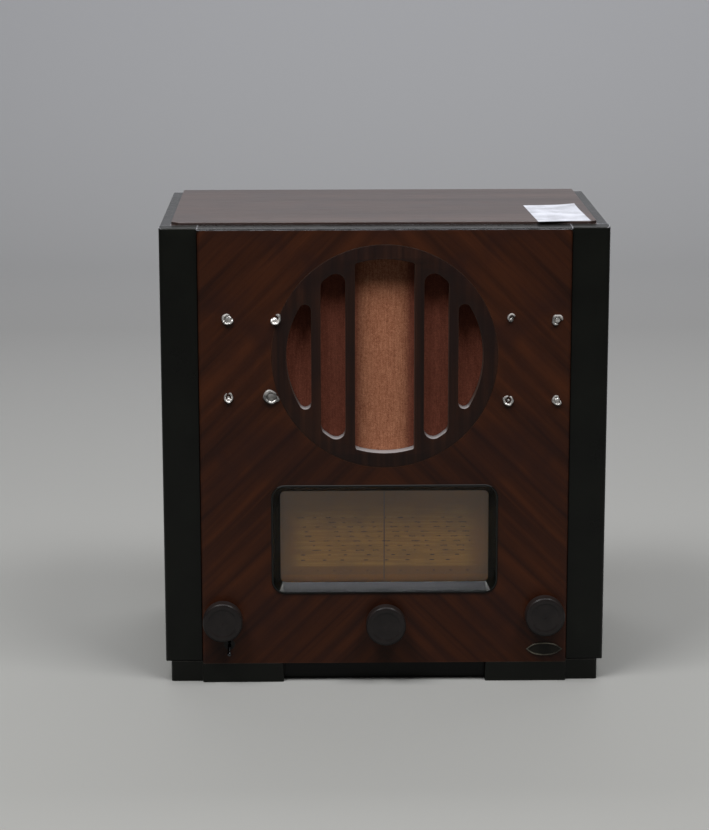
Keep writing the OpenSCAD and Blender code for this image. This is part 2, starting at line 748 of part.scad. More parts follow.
module dial_frame() color("#8f8d86") {
    leg_x = plate_w/2 - leg_in;
    wheel_half = groove_w/2 + flange_t + run_fit;
    difference() {
        union() {
            block([-plate_w/2, plate_y, plate_low], [plate_w/2, plate_back, plate_top]);
            for (m = [0, 1]) mirror([m, 0, 0]) {
                block([leg_x, plate_y, deck_z], [leg_x + leg_w, plate_back, plate_low + leg_lap]);
                block([leg_x, plate_y, deck_z], [leg_x + leg_w, chassis_y + leg_w, deck_z + plate_t]);
                rod_y(pulley_x, pulley_z, pin_boss_r, plate_back - eps, drive_y - wheel_half);
                rod_y(pulley_x, pulley_z, pin_r, plate_back - eps, drive_y + pin_reach);
                rod_y(pulley_x, pulley_z, pin_boss_r,
                    drive_y + wheel_half, drive_y + wheel_half + pin_head);
                block([plate_w/2 - eps, plate_y, dial_z - lamp_arm_low],
                    [lamp_x, plate_back, dial_z - lamp_arm_top]);
            }
        }
        rod_y(0, drum_z, spindle_r + spindle_clear, plate_y - 1, plate_back + 1);
        for (x = [-lamp_x, lamp_x]) rod_z(x, lamp_y, lamp_r + push_fit, dial_z - lamp_cup_low, dial_z);
    }
}
// A lamp stands in a cup at each end of the dial: centre contact, cup, collar and round bulb
lamp_tip = [2, 19, 17];
lamp_cup = [17.5, 7];
lamp_cup_soft = 0.8;
lamp_neck = [2.6, 3];
lamp_bulb_low = 6;
module dial_lamps() color("#d9c27a") {
    for (x = [-lamp_x, lamp_x]) turned_z(x, lamp_y) {
        rect([0, dial_z - lamp_tip[1]], [lamp_tip[0], dial_z - lamp_tip[2]]);
        soft_rect([0, dial_z - lamp_cup[0]], [lamp_r, dial_z - lamp_cup[1]], [0, lamp_cup_soft, 0, 0]);
        rect([0, dial_z - lamp_cup[1] - eps], [lamp_neck[0], dial_z - lamp_neck[1]]);
        difference() {
            translate([0, dial_z]) circle(lamp_r);
            rect([-lamp_r - 1, dial_z - lamp_bulb_low], [0, dial_z + lamp_bulb_low]);
        }
    }
}
needle_w = 1;
carriage_w = 8;
carriage_t = 2;
carriage_bridge = 1.2;
carriage_drop = 2.2;
module dial_pointer() color("#1b1b1b") {
    carriage_y = drive_y + cord_d/2 + cord_gap;
    carriage_low = plate_top + seat_gap;
    union() {
        block([-needle_w/2, needle_y, dial_z - window_h/2 + 1],
            [needle_w/2, needle_y + needle_t, carriage_low + carriage_bridge/2]);
        block([-carriage_w/2, needle_y, carriage_low],
            [carriage_w/2, carriage_y + carriage_t, carriage_low + carriage_bridge]);
        block([-carriage_w/2, carriage_y, run_z - carriage_drop],
            [carriage_w/2, carriage_y + carriage_t, carriage_low + carriage_bridge/2]);
    }
}

// Cord drive: the cord leaves the drum, passes both guide pulleys and the spindle, and comes back.
// It is pressed a little thinner where it bends.
bend_thin = 0.02;
bend_lap = 0.2;
wheels = [[[0, drum_z], drum_path], [[-pulley_x, pulley_z], pulley_path],
    [[pulley_x, pulley_z], pulley_path], [[tuning_x, tuning_z], spool_path]];
function unit(a) = [cos(a), sin(a)];
function leave_angle(i) = let (p = wheels[i % 4], q = wheels[(i + 1) % 4], d = q[0] - p[0])
    atan2(d[1], d[0]) + acos((p[1] - q[1])/norm(d));
function wrap_angle(i) = (leave_angle(i + 3) - leave_angle(i) + 720) % 360;
module drive_cord() color("#6b5a35") {
    for (i = [0:3]) {
        a = leave_angle(i);
        start = wheels[i][0] + wheels[i][1]*unit(a);
        stop = wheels[(i + 1) % 4][0] + wheels[(i + 1) % 4][1]*unit(a);
        run = stop - start;
        translate([start[0], drive_y, start[1]]) rotate([0, 90 - atan2(run[1], run[0]), 0])
            translate([0, 0, -bend_lap]) cylinder(h = norm(run) + 2*bend_lap, r = cord_d/2, $fn = 16);
        translate([wheels[i][0][0], drive_y, wheels[i][0][1]]) rotate([90, 0, 0]) rotate([0, 0, a])
            rotate_extrude(angle = wrap_angle(i)) translate([wheels[i][1], 0])
                circle(cord_d/2 - bend_thin, $fn = 16);
    }
}
groove_draft = 0.2;
module grooved_rim(path, inner_r) {
    groove_r = path - groove_lip;
    half = groove_w/2;
    polygon([[inner_r, drive_y - half - flange_t], [path + flange_up, drive_y - half - flange_t],
        [path + flange_up, drive_y - half], [groove_r, drive_y - half + groove_draft],
        [groove_r, drive_y + half - groove_draft], [path + flange_up, drive_y + half],
        [path + flange_up, drive_y + half + flange_t], [inner_r, drive_y + half + flange_t]]);
}
module cord_pulley(s) color("#b59a5a") {
    turned_y(s*pulley_x, pulley_z) grooved_rim(pulley_path, pin_r + run_fit);
}
drum_rim_w = 6;
drum_web_t = 1.6;
drum_hub_r = 8;
drum_hub_front = 3;
drum_hole_r = 9;
drum_hole_in = 24;
module drive_drum() color("#c2bfb4") {
    difference() {
        turned_y(0, drum_z) {
            grooved_rim(drum_path, drum_path - drum_rim_w);
            rect([spindle_r + push_fit, drive_y - drum_web_t/2],
                [drum_path - drum_rim_w + 1, drive_y + drum_web_t/2]);
            rect([spindle_r + push_fit, drive_y - drum_hub_front], [drum_hub_r, gang_y - 1]);
        }
        for (a = [0:60:300]) translate([0, 0, drum_z]) rotate([0, a, 0])
            rod_y(drum_path - drum_hole_in, 0, drum_hole_r, drive_y - 2, drive_y + 2);
    }
}

// Tuning capacitor: half-round moving plates pass between fixed plates in two screened sections
function section_y(k) = gang_y + gang_t + k*(section_l + gang_t);
function rotor_y(k, i) = section_y(k) + section_l/2 + (i - (rotor_count - 1)/2)*plate_pitch;
hub_over = 3;
vane_skirt = 1.5;
spindle_front_gap = 0.4;
spindle_tail = 3;
module gang_rotor() color("#c9c7be") {
    union() {
        rod_y(0, drum_z, spindle_r, plate_back + spindle_front_gap, gang_back + spindle_tail);
        for (k = [0, 1]) {
            rod_y(0, drum_z, hub_r, rotor_y(k, 0) - hub_over, rotor_y(k, rotor_count - 1) + hub_over);
            for (i = [0:rotor_count - 1]) along_y(rotor_y(k, i) - vane_t/2, rotor_y(k, i) + vane_t/2)
                translate([0, drum_z]) intersection() {
                    circle(rotor_r);
                    rect([-rotor_r, -vane_skirt], [rotor_r, rotor_r + 1]);
                }
        }
    }
}
tie_r = 1.5;
tie_over = 1.2;
tie_in_x = 1.8;
tie_in_z = 3;
hub_clear = 1.5;
stator_leg_w = 10;
stator_leg_t = 2;
module gang_stators() color("#d2cfc4") {
    tie_x = stator_x - tie_in_x;
    tie_z = stator_h - tie_in_z;
    for (k = [0, 1]) union() {
        for (i = [0:rotor_count]) {
            y = rotor_y(k, i) - plate_pitch/2;
            along_y(y - vane_t/2, y + vane_t/2) translate([0, drum_z]) difference() {
                rect([-stator_x, -stator_h], [-1, stator_h]);
                circle(hub_r + hub_clear);
            }
        }
        for (z = [-tie_z, tie_z]) rod_y(-tie_x, drum_z + z, tie_r,
            rotor_y(k, 0) - plate_pitch/2 - tie_over, rotor_y(k, rotor_count) - plate_pitch/2 + tie_over);
        for (i = [0, rotor_count]) block(
            [-stator_x, rotor_y(k, i) - plate_pitch/2 - stator_leg_t/2, gang_low + gang_t],
            [-stator_x + stator_leg_w, rotor_y(k, i) - plate_pitch/2 + stator_leg_t/2,
                drum_z - stator_h + 1]);
    }
}
gang_crown = 2;
gang_soft = 6;
strut_t = 3;
strut_top = 6;
strut_low = 11;
gang_foot_r = 4.5;
gang_foot_in = [8, 10];
tail_boss_wall = 3;
tail_boss_l = 2;
module gang_frame() color("#a9a89f") {
    gang_top = drum_z + gang_w/2 - gang_crown;
    difference() {
        union() {
            block([-gang_w/2, gang_y, gang_low], [gang_w/2, gang_back, gang_low + gang_t]);
            for (y = [gang_y, section_y(1) - gang_t, gang_back - gang_t]) along_y(y, y + gang_t)
                soft_rect([-gang_w/2, gang_low], [gang_w/2, gang_top], [0, 0, gang_soft, gang_soft]);
            for (x = [-gang_w/2, gang_w/2 - strut_t])
                block([x, gang_y, gang_top - strut_low], [x + strut_t, gang_back, gang_top - strut_top]);
            for (x = [gang_foot_in[0] - gang_w/2, gang_w/2 - gang_foot_in[0]],
                y = [gang_y + gang_foot_in[1], gang_back - gang_foot_in[1]])
                rod_z(x, y, gang_foot_r, deck_z, gang_low + eps);
            rod_y(0, drum_z, spindle_r + tail_boss_wall, gang_back - eps, gang_back + tail_boss_l);
        }
        rod_y(0, drum_z, spindle_r + run_fit, gang_y - 1, gang_back + tail_boss_l + 1);
        rod_y(0, drum_z, hub_r + 1, section_y(1) - gang_t - 1, section_y(1) + 1);
    }
}

// Controls and their knobs: a raised rim runs round each knob's slightly dished face
knob_dish = 0.9;
knob_dish_in = 6;
knob_ring_in = 4.5;
knob_top_in = 2;
knob_soft = [0.9, 0.35];
knob_side = 1.6;
knob_back_soft = 1.2;
knob_hollow_r = 9;
knob_hollow_d = 5;
knob_wall = 3;
knob_face_t = 4;
module knob(x, z, gap) {
    back = panel_face - gap;
    front = back - knob_h;
    edge = knob_d/2;
    color("#1d1a18") turned_y(x, z) difference() {
        polygon([[0, front + knob_dish], [edge - knob_dish_in, front + knob_dish/2],
            [edge - knob_ring_in, front], [edge - knob_top_in, front],
            [edge - knob_soft[0], front + knob_soft[1]], [edge, front + knob_side],
            [edge, back - knob_back_soft], [edge - knob_back_soft, back], [0, back]]);
        rect([-1, front + knob_face_t], [shaft_r + push_fit, back + 1]);
        rect([knob_hollow_r, back - knob_hollow_d], [edge - knob_wall, back + 1]);
    }
}
shaft_short = 0.5;
spool_bore = 0.5;
spool_tail = 14;
volume_tail = 6;
wafer_at = [9, 20];
wafer_t = 1.6;
wafer_hub_t = 1.2;
wafer_hub_fit = 0.4;
module shaft(x, z, gap, stop)
    rod_y(x, z, shaft_r, panel_face - gap - knob_h + knob_face_t + shaft_short, stop);
module tuning_shaft() color("#b8b5ac") {
    shaft(tuning_x, tuning_z, tuning_gap, chassis_y + spool_tail);
    turned_y(tuning_x, tuning_z) grooved_rim(spool_path, spool_bore);
}
module volume_shaft() color("#b8b5ac")
    shaft(-volume_x, volume_z, volume_gap, chassis_y + sheet_t + volume_tail);
module band_shaft() color("#b8b5ac") {
    shaft(band_x, band_z, band_gap, chassis_y + switch_l);
    for (y = wafer_at) rod_y(band_x, band_z, wafer_bore - wafer_hub_fit,
        chassis_y + y - wafer_hub_t/2, chassis_y + y + wafer_hub_t/2);
}
module tuning_knob() knob(tuning_x, tuning_z, tuning_gap);
module volume_knob() knob(-volume_x, volume_z, volume_gap);
module band_knob() knob(band_x, band_z, band_gap);
bush_l = 8;
nut_t = 2.6;
nut_r = 7.2;
module control_bush(x, z) {
    rod_y(x, z, bush_r, chassis_y - bush_l, chassis_y + sheet_t + eps);
    along_y(chassis_y - nut_t, chassis_y) translate([x, z]) circle(nut_r, $fn = 6);
}
tag_pitch = 8;
tag_w = 3;
tag_t = 1;
tag_set = 4;
tag_half = 6;
module volume_control() color("#8f8f8c") {
    back = chassis_y + sheet_t;
    difference() {
        union() {
            control_bush(-volume_x, volume_z);
            along_y(back, back + can_l) translate([-volume_x, volume_z]) circle(can_r);
            for (i = [-1:1]) block(
                [i*tag_pitch - volume_x - tag_w/2, back + tag_set, volume_z - can_r - tag_half],
                [i*tag_pitch - volume_x + tag_w/2, back + tag_set + tag_t, volume_z - can_r + tag_half]);
        }
        rod_y(-volume_x, volume_z, shaft_r + run_fit, chassis_y - bush_l - 1, back + volume_tail + 0.5);
    }
}
switch_plate = [40, 24, 4];
switch_plate_t = 1.5;
pillar_at = 14.5;
pillar_r = 1.6;
pillar_over = 3;
module band_switch() color("#8a6f45") {
    back = chassis_y + sheet_t;
    difference() {
        union() {
            control_bush(band_x, band_z);
            along_y(back, back + switch_plate_t) translate([band_x, band_z])
                round_rect(switch_plate[0], switch_plate[1], switch_plate[2]);
            for (y = wafer_at) rod_y(band_x, band_z, wafer_r,
                chassis_y + y - wafer_t/2, chassis_y + y + wafer_t/2);
            for (s = [-1, 1])
                rod_y(band_x + s*pillar_at, band_z, pillar_r, back, chassis_y + wafer_at[1] + pillar_over);
        }
        rod_y(band_x, band_z, shaft_r + run_fit, chassis_y - bush_l - 1, back + switch_plate_t + 0.5);
        for (y = wafer_at) rod_y(band_x, band_z, wafer_bore, chassis_y + y - 2, chassis_y + y + 2);
    }
}
axle_r = 0.8;
axle_l = 6.4;
axle_room = 7;
lever_hub = [1.6, 2.4];
lever_tip_r = 2;
lever_slot_h = 8.6;
lever_slot_d = 3;
tone_box = [20, 16, 6];
module tone_switch() color("#161616") {
    difference() {
        union() {
            rod_y(-toggle_x, toggle_z, toggle_bush_r, panel_face, panel_back + eps);
            block([-toggle_x - tone_box[0]/2, panel_back, base_top],
                [-toggle_x + tone_box[0]/2, panel_back + tone_box[1], toggle_z + tone_box[2]]);
        }
        block([-toggle_x - toggle_slot_w/2, panel_face - 1, toggle_z - lever_slot_h/2],
            [-toggle_x + toggle_slot_w/2, toggle_y + lever_slot_d, toggle_z + lever_slot_h/2]);
        translate([-toggle_x, toggle_y, toggle_z]) rotate([0, 90, 0])
            cylinder(h = axle_room, r = axle_r + run_fit, center = true);
    }
}
module tone_lever() color("#2a2b2d") {
    translate([-toggle_x, toggle_y, toggle_z]) union() {
        rotate([0, 90, 0]) cylinder(h = axle_l, r = axle_r, center = true);
        rotate([0, 90, 0]) cylinder(h = lever_hub[1], r = lever_hub[0], center = true);
        rotate([toggle_rest, 0, 0]) rotate([90, 0, 0]) cylinder(h = toggle_l, r = toggle_stem_r);
        rotate([toggle_rest, 0, 0]) translate([0, -toggle_l, 0]) sphere(lever_tip_r);
    }
}

// Chassis and what stands on it
flange_in = 22;
sheet_lap = 0.05;
tuning_bush = [3, 10];
valve_ledge = 2;
socket_body_r = 3.4;
socket_room = 0.2;
// The chassis is riveted up of flat sheets: deck, front and rear aprons, and two flanged ends
module chassis() color("#9a9c98") {
    under = deck_z - sheet_t;
    end_in = chassis_half - sheet_t;
    difference() {
        block([-chassis_half, chassis_y, under], [chassis_half, chassis_back, deck_z]);
        for (p = valve_places) rod_z(p[0], p[1], valve_base_r - valve_ledge, under - 1, deck_z + 1);
    }
    difference() {
        union() {
            block([-chassis_half, chassis_y, base_top],
                [chassis_half, chassis_y + sheet_t, under - sheet_lap]);
            rod_y(tuning_x, tuning_z, bush_r, chassis_y - tuning_bush[0], chassis_y + tuning_bush[1]);
        }
        rod_y(tuning_x, tuning_z, shaft_r + run_fit, chassis_y - tuning_bush[0] - 1,
            chassis_y + tuning_bush[1] + 1);
        for (p = [[-volume_x, volume_z], [band_x, band_z]])
            rod_y(p[0], p[1], bush_r + push_fit, chassis_y - 1, chassis_y + sheet_t + 1);
    }
    difference() {
        block([-chassis_half, chassis_back - sheet_t, base_top],
            [chassis_half, chassis_back, under - sheet_lap]);
        for (x = socket_places) rod_y(x, socket_z, socket_body_r + socket_room,
            chassis_back - sheet_t - 1, chassis_back + 1);
    }
    for (m = [0, 1]) mirror([m, 0, 0]) difference() {
        union() {
            block([end_in, chassis_y + sheet_t + sheet_lap, base_top],
                [chassis_half, chassis_back - sheet_t - sheet_lap, under - sheet_lap]);
            block([chassis_half - flange_in, chassis_y + sheet_t + sheet_lap, base_top],
                [chassis_half, chassis_back - sheet_t - sheet_lap, base_top + sheet_t]);
        }
        for (y = bolt_y) rod_z(bolt_x, y, screw_r + push_fit, base_top - 1, base_top + sheet_t + 1);
    }
}
module standing_rect(w, h, r) translate([0, h/2]) round_rect(w, h, r);
core_in = 13;
core_soft = 3;
core_leg = 15;
winding_out = 9;
winding_fit = 0.2;
winding_soft = 5;
core_foot = 5;
module mains_transformer() color("#4a4c4e") {
    w = trafo_size[0];
    d = trafo_size[1];
    h = trafo_size[2];
    translate([trafo_at[0], trafo_at[1], deck_z]) {
        difference() {
            along_y(-d/2 + core_in, d/2 - core_in) standing_rect(w, h, core_soft);
            block([-w/6 - winding_out, -d, core_leg], [w/6 + winding_out, d, h - core_leg]);
        }
        block([-w/2 - core_foot, -d/2 + core_in, 0], [w/2 + core_foot, d/2 - core_in, trafo_foot]);
    }
}
module transformer_winding() color("#7a4a26") {
    w = trafo_size[0];
    d = trafo_size[1];
    h = trafo_size[2];
    translate([trafo_at[0], trafo_at[1], deck_z]) along_y(-d/2, d/2) translate([0, h/2])
        round_rect(w/3 + 2*(winding_out - winding_fit), h - 2*(core_leg + winding_fit), winding_soft);
}
output_core_in = 8;
output_core_soft = 2;
output_coil_in = [9, 6];
module output_transformer() color("#55504a") {
    w = output_trafo_size[0];
    d = output_trafo_size[1];
    h = output_trafo_size[2];
    translate([output_trafo_at[0], output_trafo_at[1], deck_z]) {
        along_y(-d/2 + output_core_in, d/2 - output_core_in) standing_rect(w, h, output_core_soft);
        along_y(-d/2, d/2) translate([0, h/2])
            round_rect(w - 2*output_coil_in[0], h - 2*output_coil_in[1], winding_soft);
    }
}
smoother_soft = 2.5;
smoother_rim = [3, 2];
smoother_tag = [3, 4];
module smoothing_capacitors() color("#b9bcbd") {
    top = deck_z + smoother_h;
    for (p = smoother_places) turned_z(p[0], p[1]) {
        soft_rect([0, deck_z], [smoother_r, top], [0, 0, smoother_soft, 0]);
        rect([0, deck_z], [smoother_r + smoother_rim[0], deck_z + smoother_rim[1]]);
        rect([0, top - eps], [smoother_tag[0], top + smoother_tag[1]]);
    }
}
can_soft = 3;
can_rim = [2.5, 1.2];
can_groove = [4, 9];
trimmer_hole = [2, 4];
module coil_cans() color("#c6c8c8") {
    top = deck_z + coil_can_h;
    for (p = can_places) turned_z(p[0], p[1]) difference() {
        union() {
            soft_rect([0, deck_z], [coil_can_r, top], [0, 0, can_soft, 0]);
            rect([0, deck_z], [coil_can_r + can_rim[0], deck_z + can_rim[1]]);
        }
        rect([can_groove[0], top - 1], [can_groove[1], top + 1]);
        rect([-1, top - trimmer_hole[1]], [trimmer_hole[0], top + 1]);
    }
}
module valve_pins(p, r, z0, z1) {
    for (a = [45:90:315]) rod_z(p[0] + valve_pin_at*cos(a), p[1] + valve_pin_at*sin(a), r, z0, z1);
}
socket_skirt = 3;
socket_wall = 3;
module valve_sockets() color("#6a4526") {
    for (p = valve_places) difference() {
        turned_z(p[0], p[1]) {
            rect([0, deck_z - socket_skirt], [valve_base_r - valve_ledge - push_fit, deck_z + eps]);
            rect([0, deck_z], [valve_base_r + socket_wall, deck_z + valve_foot]);
        }
        valve_pins(p, valve_pin_r + push_fit, deck_z - socket_skirt - 1, deck_z + valve_foot + 1);
    }
}
// Bases with their pins; each carries a glass stem and the round anode inside the bulb
base_soft = 1;
base_neck_in = 4;
base_neck_lap = 2;
pin_l = 9;
stem_r = 3;
stem_l = 14;
anode_r = 9;
anode_l = 32;
module valve_bases() color("#1c1712") {
    low = deck_z + valve_foot;
    top = low + valve_base_h;
    for (p = valve_places) {
        turned_z(p[0], p[1]) {
            soft_rect([0, low], [valve_base_r, top - base_neck_in], [0, base_soft, base_soft, 0]);
            rect([0, top - base_neck_in - base_neck_lap], [valve_base_r - base_neck_in, top]);
            rect([0, top - 1], [stem_r, top + stem_l]);
            rect([0, top + stem_l - eps], [anode_r, top + stem_l + anode_l]);
        }
        valve_pins(p, valve_pin_r, low - pin_l, low + 1);
    }
}
// A shouldered bulb: narrow neck, full middle and domed top, one wall thick and open into its base
bulb_neck_in = 1.5;
bulb_neck_l = 8;
bulb_flare = 14;
bulb_waist = 0.5;
bulb_shoulder = 16;
bulb_dome = 14;
dome_share = 0.66;
module bulb_outline(shrink) {
    low = deck_z + valve_foot + valve_base_h - base_neck_in;
    open = low - (shrink > 0 ? 1 : 0);
    neck_z = low + bulb_neck_l;
    waist_z = low + bulb_h*bulb_waist;
    dome_z = low + bulb_h - bulb_dome - shrink;
    neck = valve_base_r - bulb_neck_in - shrink;
    wide = bulb_r - shrink;
    polygon(concat([[0, open], [neck, open], [neck, neck_z]],
        [for (t = [0:15:90]) [neck + (wide - neck)*sin(t), neck_z + bulb_flare*(1 - cos(t))]],
        [[wide, waist_z]],
        [for (t = [0:15:90]) [wide - wide*(1 - dome_share)*(1 - cos(t)), waist_z + bulb_shoulder*sin(t)]],
        [for (t = [0:15:90]) [wide*dome_share*cos(t), dome_z + bulb_dome*sin(t)]]));
}
module valve(i) color([0.75, 0.78, 0.76, 0.4]) {
    turned_z(valve_places[i][0], valve_places[i][1]) difference() {
        bulb_outline(0);
        bulb_outline(bulb_wall);
        rect([-2, 0], [0, top_z]);
    }
}
module mixer_valve() valve(0);
module detector_valve() valve(1);
module output_valve() valve(2);
module rectifier_valve() valve(3);

// Back of the cabinet
strip_end = 12;
strip_h = 20;
strip_soft = 3;
socket_half_l = 6;
module rear_terminals() color("#5a3c22") {
    difference() {
        union() {
            along_y(chassis_back, chassis_back + strip_t) translate([socket_mid, socket_z])
                round_rect(socket_span + 2*strip_end, strip_h, strip_soft);
            for (x = socket_places)
                rod_y(x, socket_z, socket_body_r,
                    chassis_back - socket_half_l, chassis_back + socket_half_l);
        }
        for (x = socket_places) rod_y(x, socket_z, socket_bore,
            chassis_back - socket_half_l - 1, chassis_back + socket_half_l + 1);
    }
}
grommet_wall = 2.2;
grommet_rim = 4.5;
grommet_lip = 1.5;
module mains_grommet() color("#181818") {
    turned_y(lead_at[0], lead_at[1]) {
        rect([lead_r, cover_y - grommet_lip], [lead_r + grommet_wall, cover_face + grommet_lip]);
        rect([lead_r, cover_y - grommet_lip], [lead_r + grommet_rim, cover_y]);
        soft_rect([lead_r, cover_face], [lead_r + grommet_rim, cover_face + grommet_lip], [0, 0, 1, 0]);
    }
}
vent_w = 5;
vent_h = 46;
vent_pitch = 18;
vent_rows = 3;
vent_cols = 8;
vent_row_pitch = 72;
vent_rise = 66;
low_vent_h = 30;
low_vent_cols = [-6, 1];
cover_window = [17, 28, 5];
module back_cover() color("#7a5c3a") {
    along_y(cover_y, cover_face) difference() {
        rect([-inner_x + seat_gap, base_top + seat_gap], [inner_x - seat_gap, top_under - seat_gap]);
        for (row = [0:vent_rows - 1], i = [-vent_cols:vent_cols])
            translate([i*vent_pitch, deck_z + vent_rise + row*vent_row_pitch])
                round_rect(vent_w, vent_h, vent_w/2);
        for (i = [low_vent_cols[0]:low_vent_cols[1]]) translate([i*vent_pitch, base_top + low_vent_h])
            round_rect(vent_w, low_vent_h, vent_w/2);
        translate([socket_mid, socket_z])
            round_rect(socket_span + 2*cover_window[0], cover_window[1], cover_window[2]);
        translate(lead_at) circle(lead_r + grommet_wall + push_fit);
        for (x = [-1, 1]*(inner_x - cleat/2), z = cover_screw_z)
            translate([x, z]) circle(screw_r + push_fit);
    }
}
module round_head(r, h) intersection() {
    cylinder(h = h, r = r);
    translate([0, 0, h - (r*r + h*h)/(2*h)]) sphere((r*r + h*h)/(2*h));
}
module hex_nut(af, t, bore) {
    difference() {
        cylinder(h = t, r = af/sqrt(3), $fn = 6);
        translate([0, 0, -1]) cylinder(h = t + 2, r = bore);
    }
}
// Each fixing is a turned cup washer with a domed screw in it and a nut behind the baffle
cup_h = 2.2;
cup_land = 0.6;
cup_in = 1.1;
cup_floor = 0.6;
screw_share = 0.5;
screw_dome = 1.3;
nut_gap = 2;
tail_l = 4;
fixing_nut = [5, 2];
module front_fixings() color("#c8c8c4") {
    grip = baffle_back - panel_face;
    for (p = fixings) translate([p[0], panel_face, grille_z + p[1]]) rotate([90, 0, 0]) {
        rotate_extrude() polygon([[0, 0], [p[2], 0], [p[2] - cup_land, cup_h - cup_land],
            [p[2] - cup_land - cup_in, cup_h], [p[2]*screw_share + cup_in, cup_floor], [0, cup_floor]]);
        translate([0, 0, cup_floor - eps]) round_head(p[2]*screw_share, screw_dome);
        translate([0, 0, -grip - tail_l]) cylinder(h = grip + tail_l + eps, r = fixing_r);
        translate([0, 0, -grip - nut_gap]) hex_nut(fixing_nut[0], fixing_nut[1], fixing_r - eps);
    }
}
bolt_nut = [5.5, 2.4];
module cabinet_screws() color("#a8a49a") {
    for (x = [-1, 1]*(inner_x - cleat/2), z = cover_screw_z)
        translate([x, cover_face, z]) rotate([-90, 0, 0]) {
            round_head(screw_head_r, screw_head_h);
            translate([0, 0, -cover_t - screw_bite]) cylinder(h = cover_t + screw_bite + eps, r = screw_r);
        }
    grip = base_t + sheet_t;
    for (x = [-bolt_x, bolt_x], y = bolt_y) translate([x, y, shell_z]) rotate([180, 0, 0]) {
        round_head(screw_head_r, screw_head_h);
        translate([0, 0, -grip - tail_l]) cylinder(h = grip + tail_l + eps, r = screw_r);
        translate([0, 0, -grip - bolt_nut[1]]) hex_nut(bolt_nut[0], bolt_nut[1], screw_r - eps);
    }
}

module placed() translate([0, depth_shift, 0]) children();
placed() side_panel(-1);  // side_panel_left
placed() side_panel(1);  // side_panel_right
placed() corner_post(-1);  // corner_post_left
placed() corner_post(1);  // corner_post_right
placed() top_panel();
placed() front_top_rail();
placed() base_board();
placed() front_panel();
placed() grille_disc();
placed() plinth_rail();
placed() foot_front(-1);  // foot_front_left
placed() foot_front(1);  // foot_front_right
placed() rear_feet();
placed() speaker_cloth();
placed() speaker_baffle();
placed() speaker_basket();
placed() speaker_surround();
placed() speaker_cone();
placed() voice_coil();
placed() speaker_magnet();
placed() dial_bezel();
placed() dial_glass();
placed() dial_scale();
placed() dial_frame();
placed() dial_pointer();
placed() dial_lamps();
placed() cord_pulley(-1);  // cord_pulley_left
placed() cord_pulley(1);  // cord_pulley_right
placed() drive_cord();
placed() drive_drum();
placed() gang_rotor();
placed() gang_stators();
placed() gang_frame();
placed() tuning_shaft();
placed() tuning_knob();
placed() volume_control();
placed() volume_shaft();
placed() volume_knob();
placed() band_switch();
placed() band_shaft();
placed() band_knob();
placed() tone_switch();
placed() tone_lever();
placed() chassis();
placed() mains_transformer();
placed() transformer_winding();
placed() output_transformer();
placed() smoothing_capacitors();
placed() coil_cans();
placed() valve_sockets();
placed() valve_bases();
placed() mixer_valve();
placed() detector_valve();
placed() output_valve();
placed() rectifier_valve();
placed() rear_terminals();
placed() mains_grommet();
placed() back_cover();
placed() front_fixings();
placed() cabinet_screws();
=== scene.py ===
import json
import math
import random
import bmesh
import bpy
from mathutils import Matrix, Quaternion, Vector, noise


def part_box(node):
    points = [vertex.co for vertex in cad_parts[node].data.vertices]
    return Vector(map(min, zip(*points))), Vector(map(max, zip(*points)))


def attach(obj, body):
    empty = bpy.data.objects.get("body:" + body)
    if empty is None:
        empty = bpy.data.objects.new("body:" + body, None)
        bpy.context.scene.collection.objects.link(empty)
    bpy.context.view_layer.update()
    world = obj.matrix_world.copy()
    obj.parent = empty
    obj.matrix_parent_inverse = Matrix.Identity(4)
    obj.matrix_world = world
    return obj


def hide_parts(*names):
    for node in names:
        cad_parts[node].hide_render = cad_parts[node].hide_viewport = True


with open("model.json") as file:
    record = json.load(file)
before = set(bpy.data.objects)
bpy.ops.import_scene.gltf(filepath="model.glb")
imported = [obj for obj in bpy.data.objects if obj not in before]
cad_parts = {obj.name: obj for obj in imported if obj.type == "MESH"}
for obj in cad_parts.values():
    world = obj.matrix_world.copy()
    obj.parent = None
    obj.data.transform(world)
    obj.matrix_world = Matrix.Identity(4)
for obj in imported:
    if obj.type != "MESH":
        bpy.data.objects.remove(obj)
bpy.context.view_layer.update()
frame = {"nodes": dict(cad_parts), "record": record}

cadNodes = frame["nodes"]
mm = 0.001
tiny = 1e-6
print("frame: %d solids loaded" % len(cadNodes))


# colours and node helpers; colours are 0 to 255 as on screen, sizes are in metres

def linear(red, green, blue):
    def channel(value):
        value /= 255
        return value / 12.92 if value <= 0.04045 else ((value + 0.055) / 1.055) ** 2.4
    return (channel(red), channel(green), channel(blue), 1.0)


def shaded(colour, share):
    return tuple(min(255, c * share) for c in colour)


def startFinish(name, colour, sockets=None, shine=0.5):
    finish = bpy.data.materials.new(name)
    finish.use_nodes = True
    tree = finish.node_tree
    shader = tree.nodes["Principled BSDF"]
    shader.inputs["Specular IOR Level"].default_value = shine
    shader.inputs["Base Color"].default_value = linear(*colour)
    for socket, value in (sockets or {}).items():
        shader.inputs[socket].default_value = value
    return finish, tree, shader


def addNode(tree, kind, inputs=None, **settings):
    made = tree.nodes.new("ShaderNode" + kind)
    for key, value in settings.items():
        setattr(made, key, value)
    for key, value in (inputs or {}).items():
        if isinstance(value, bpy.types.NodeSocket):
            tree.links.new(value, made.inputs[key])
        else:
            made.inputs[key].default_value = value
    return made


def objectPoint(tree):
    return addNode(tree, "TexCoord").outputs["Object"]


def calc(tree, operation, first, second=0.0, third=0.0):
    values = {0: first, 1: second}
    if operation == "MULTIPLY_ADD":
        values[2] = third
    return addNode(tree, "Math", values, operation=operation).outputs[0]


def between(tree, value, low, high, outLow=0.0, outHigh=1.0):  # a clamped smooth step
    return addNode(tree, "MapRange", {0: value, 1: low, 2: high, 3: outLow, 4: outHigh},
                   interpolation_type="SMOOTHSTEP").outputs[0]


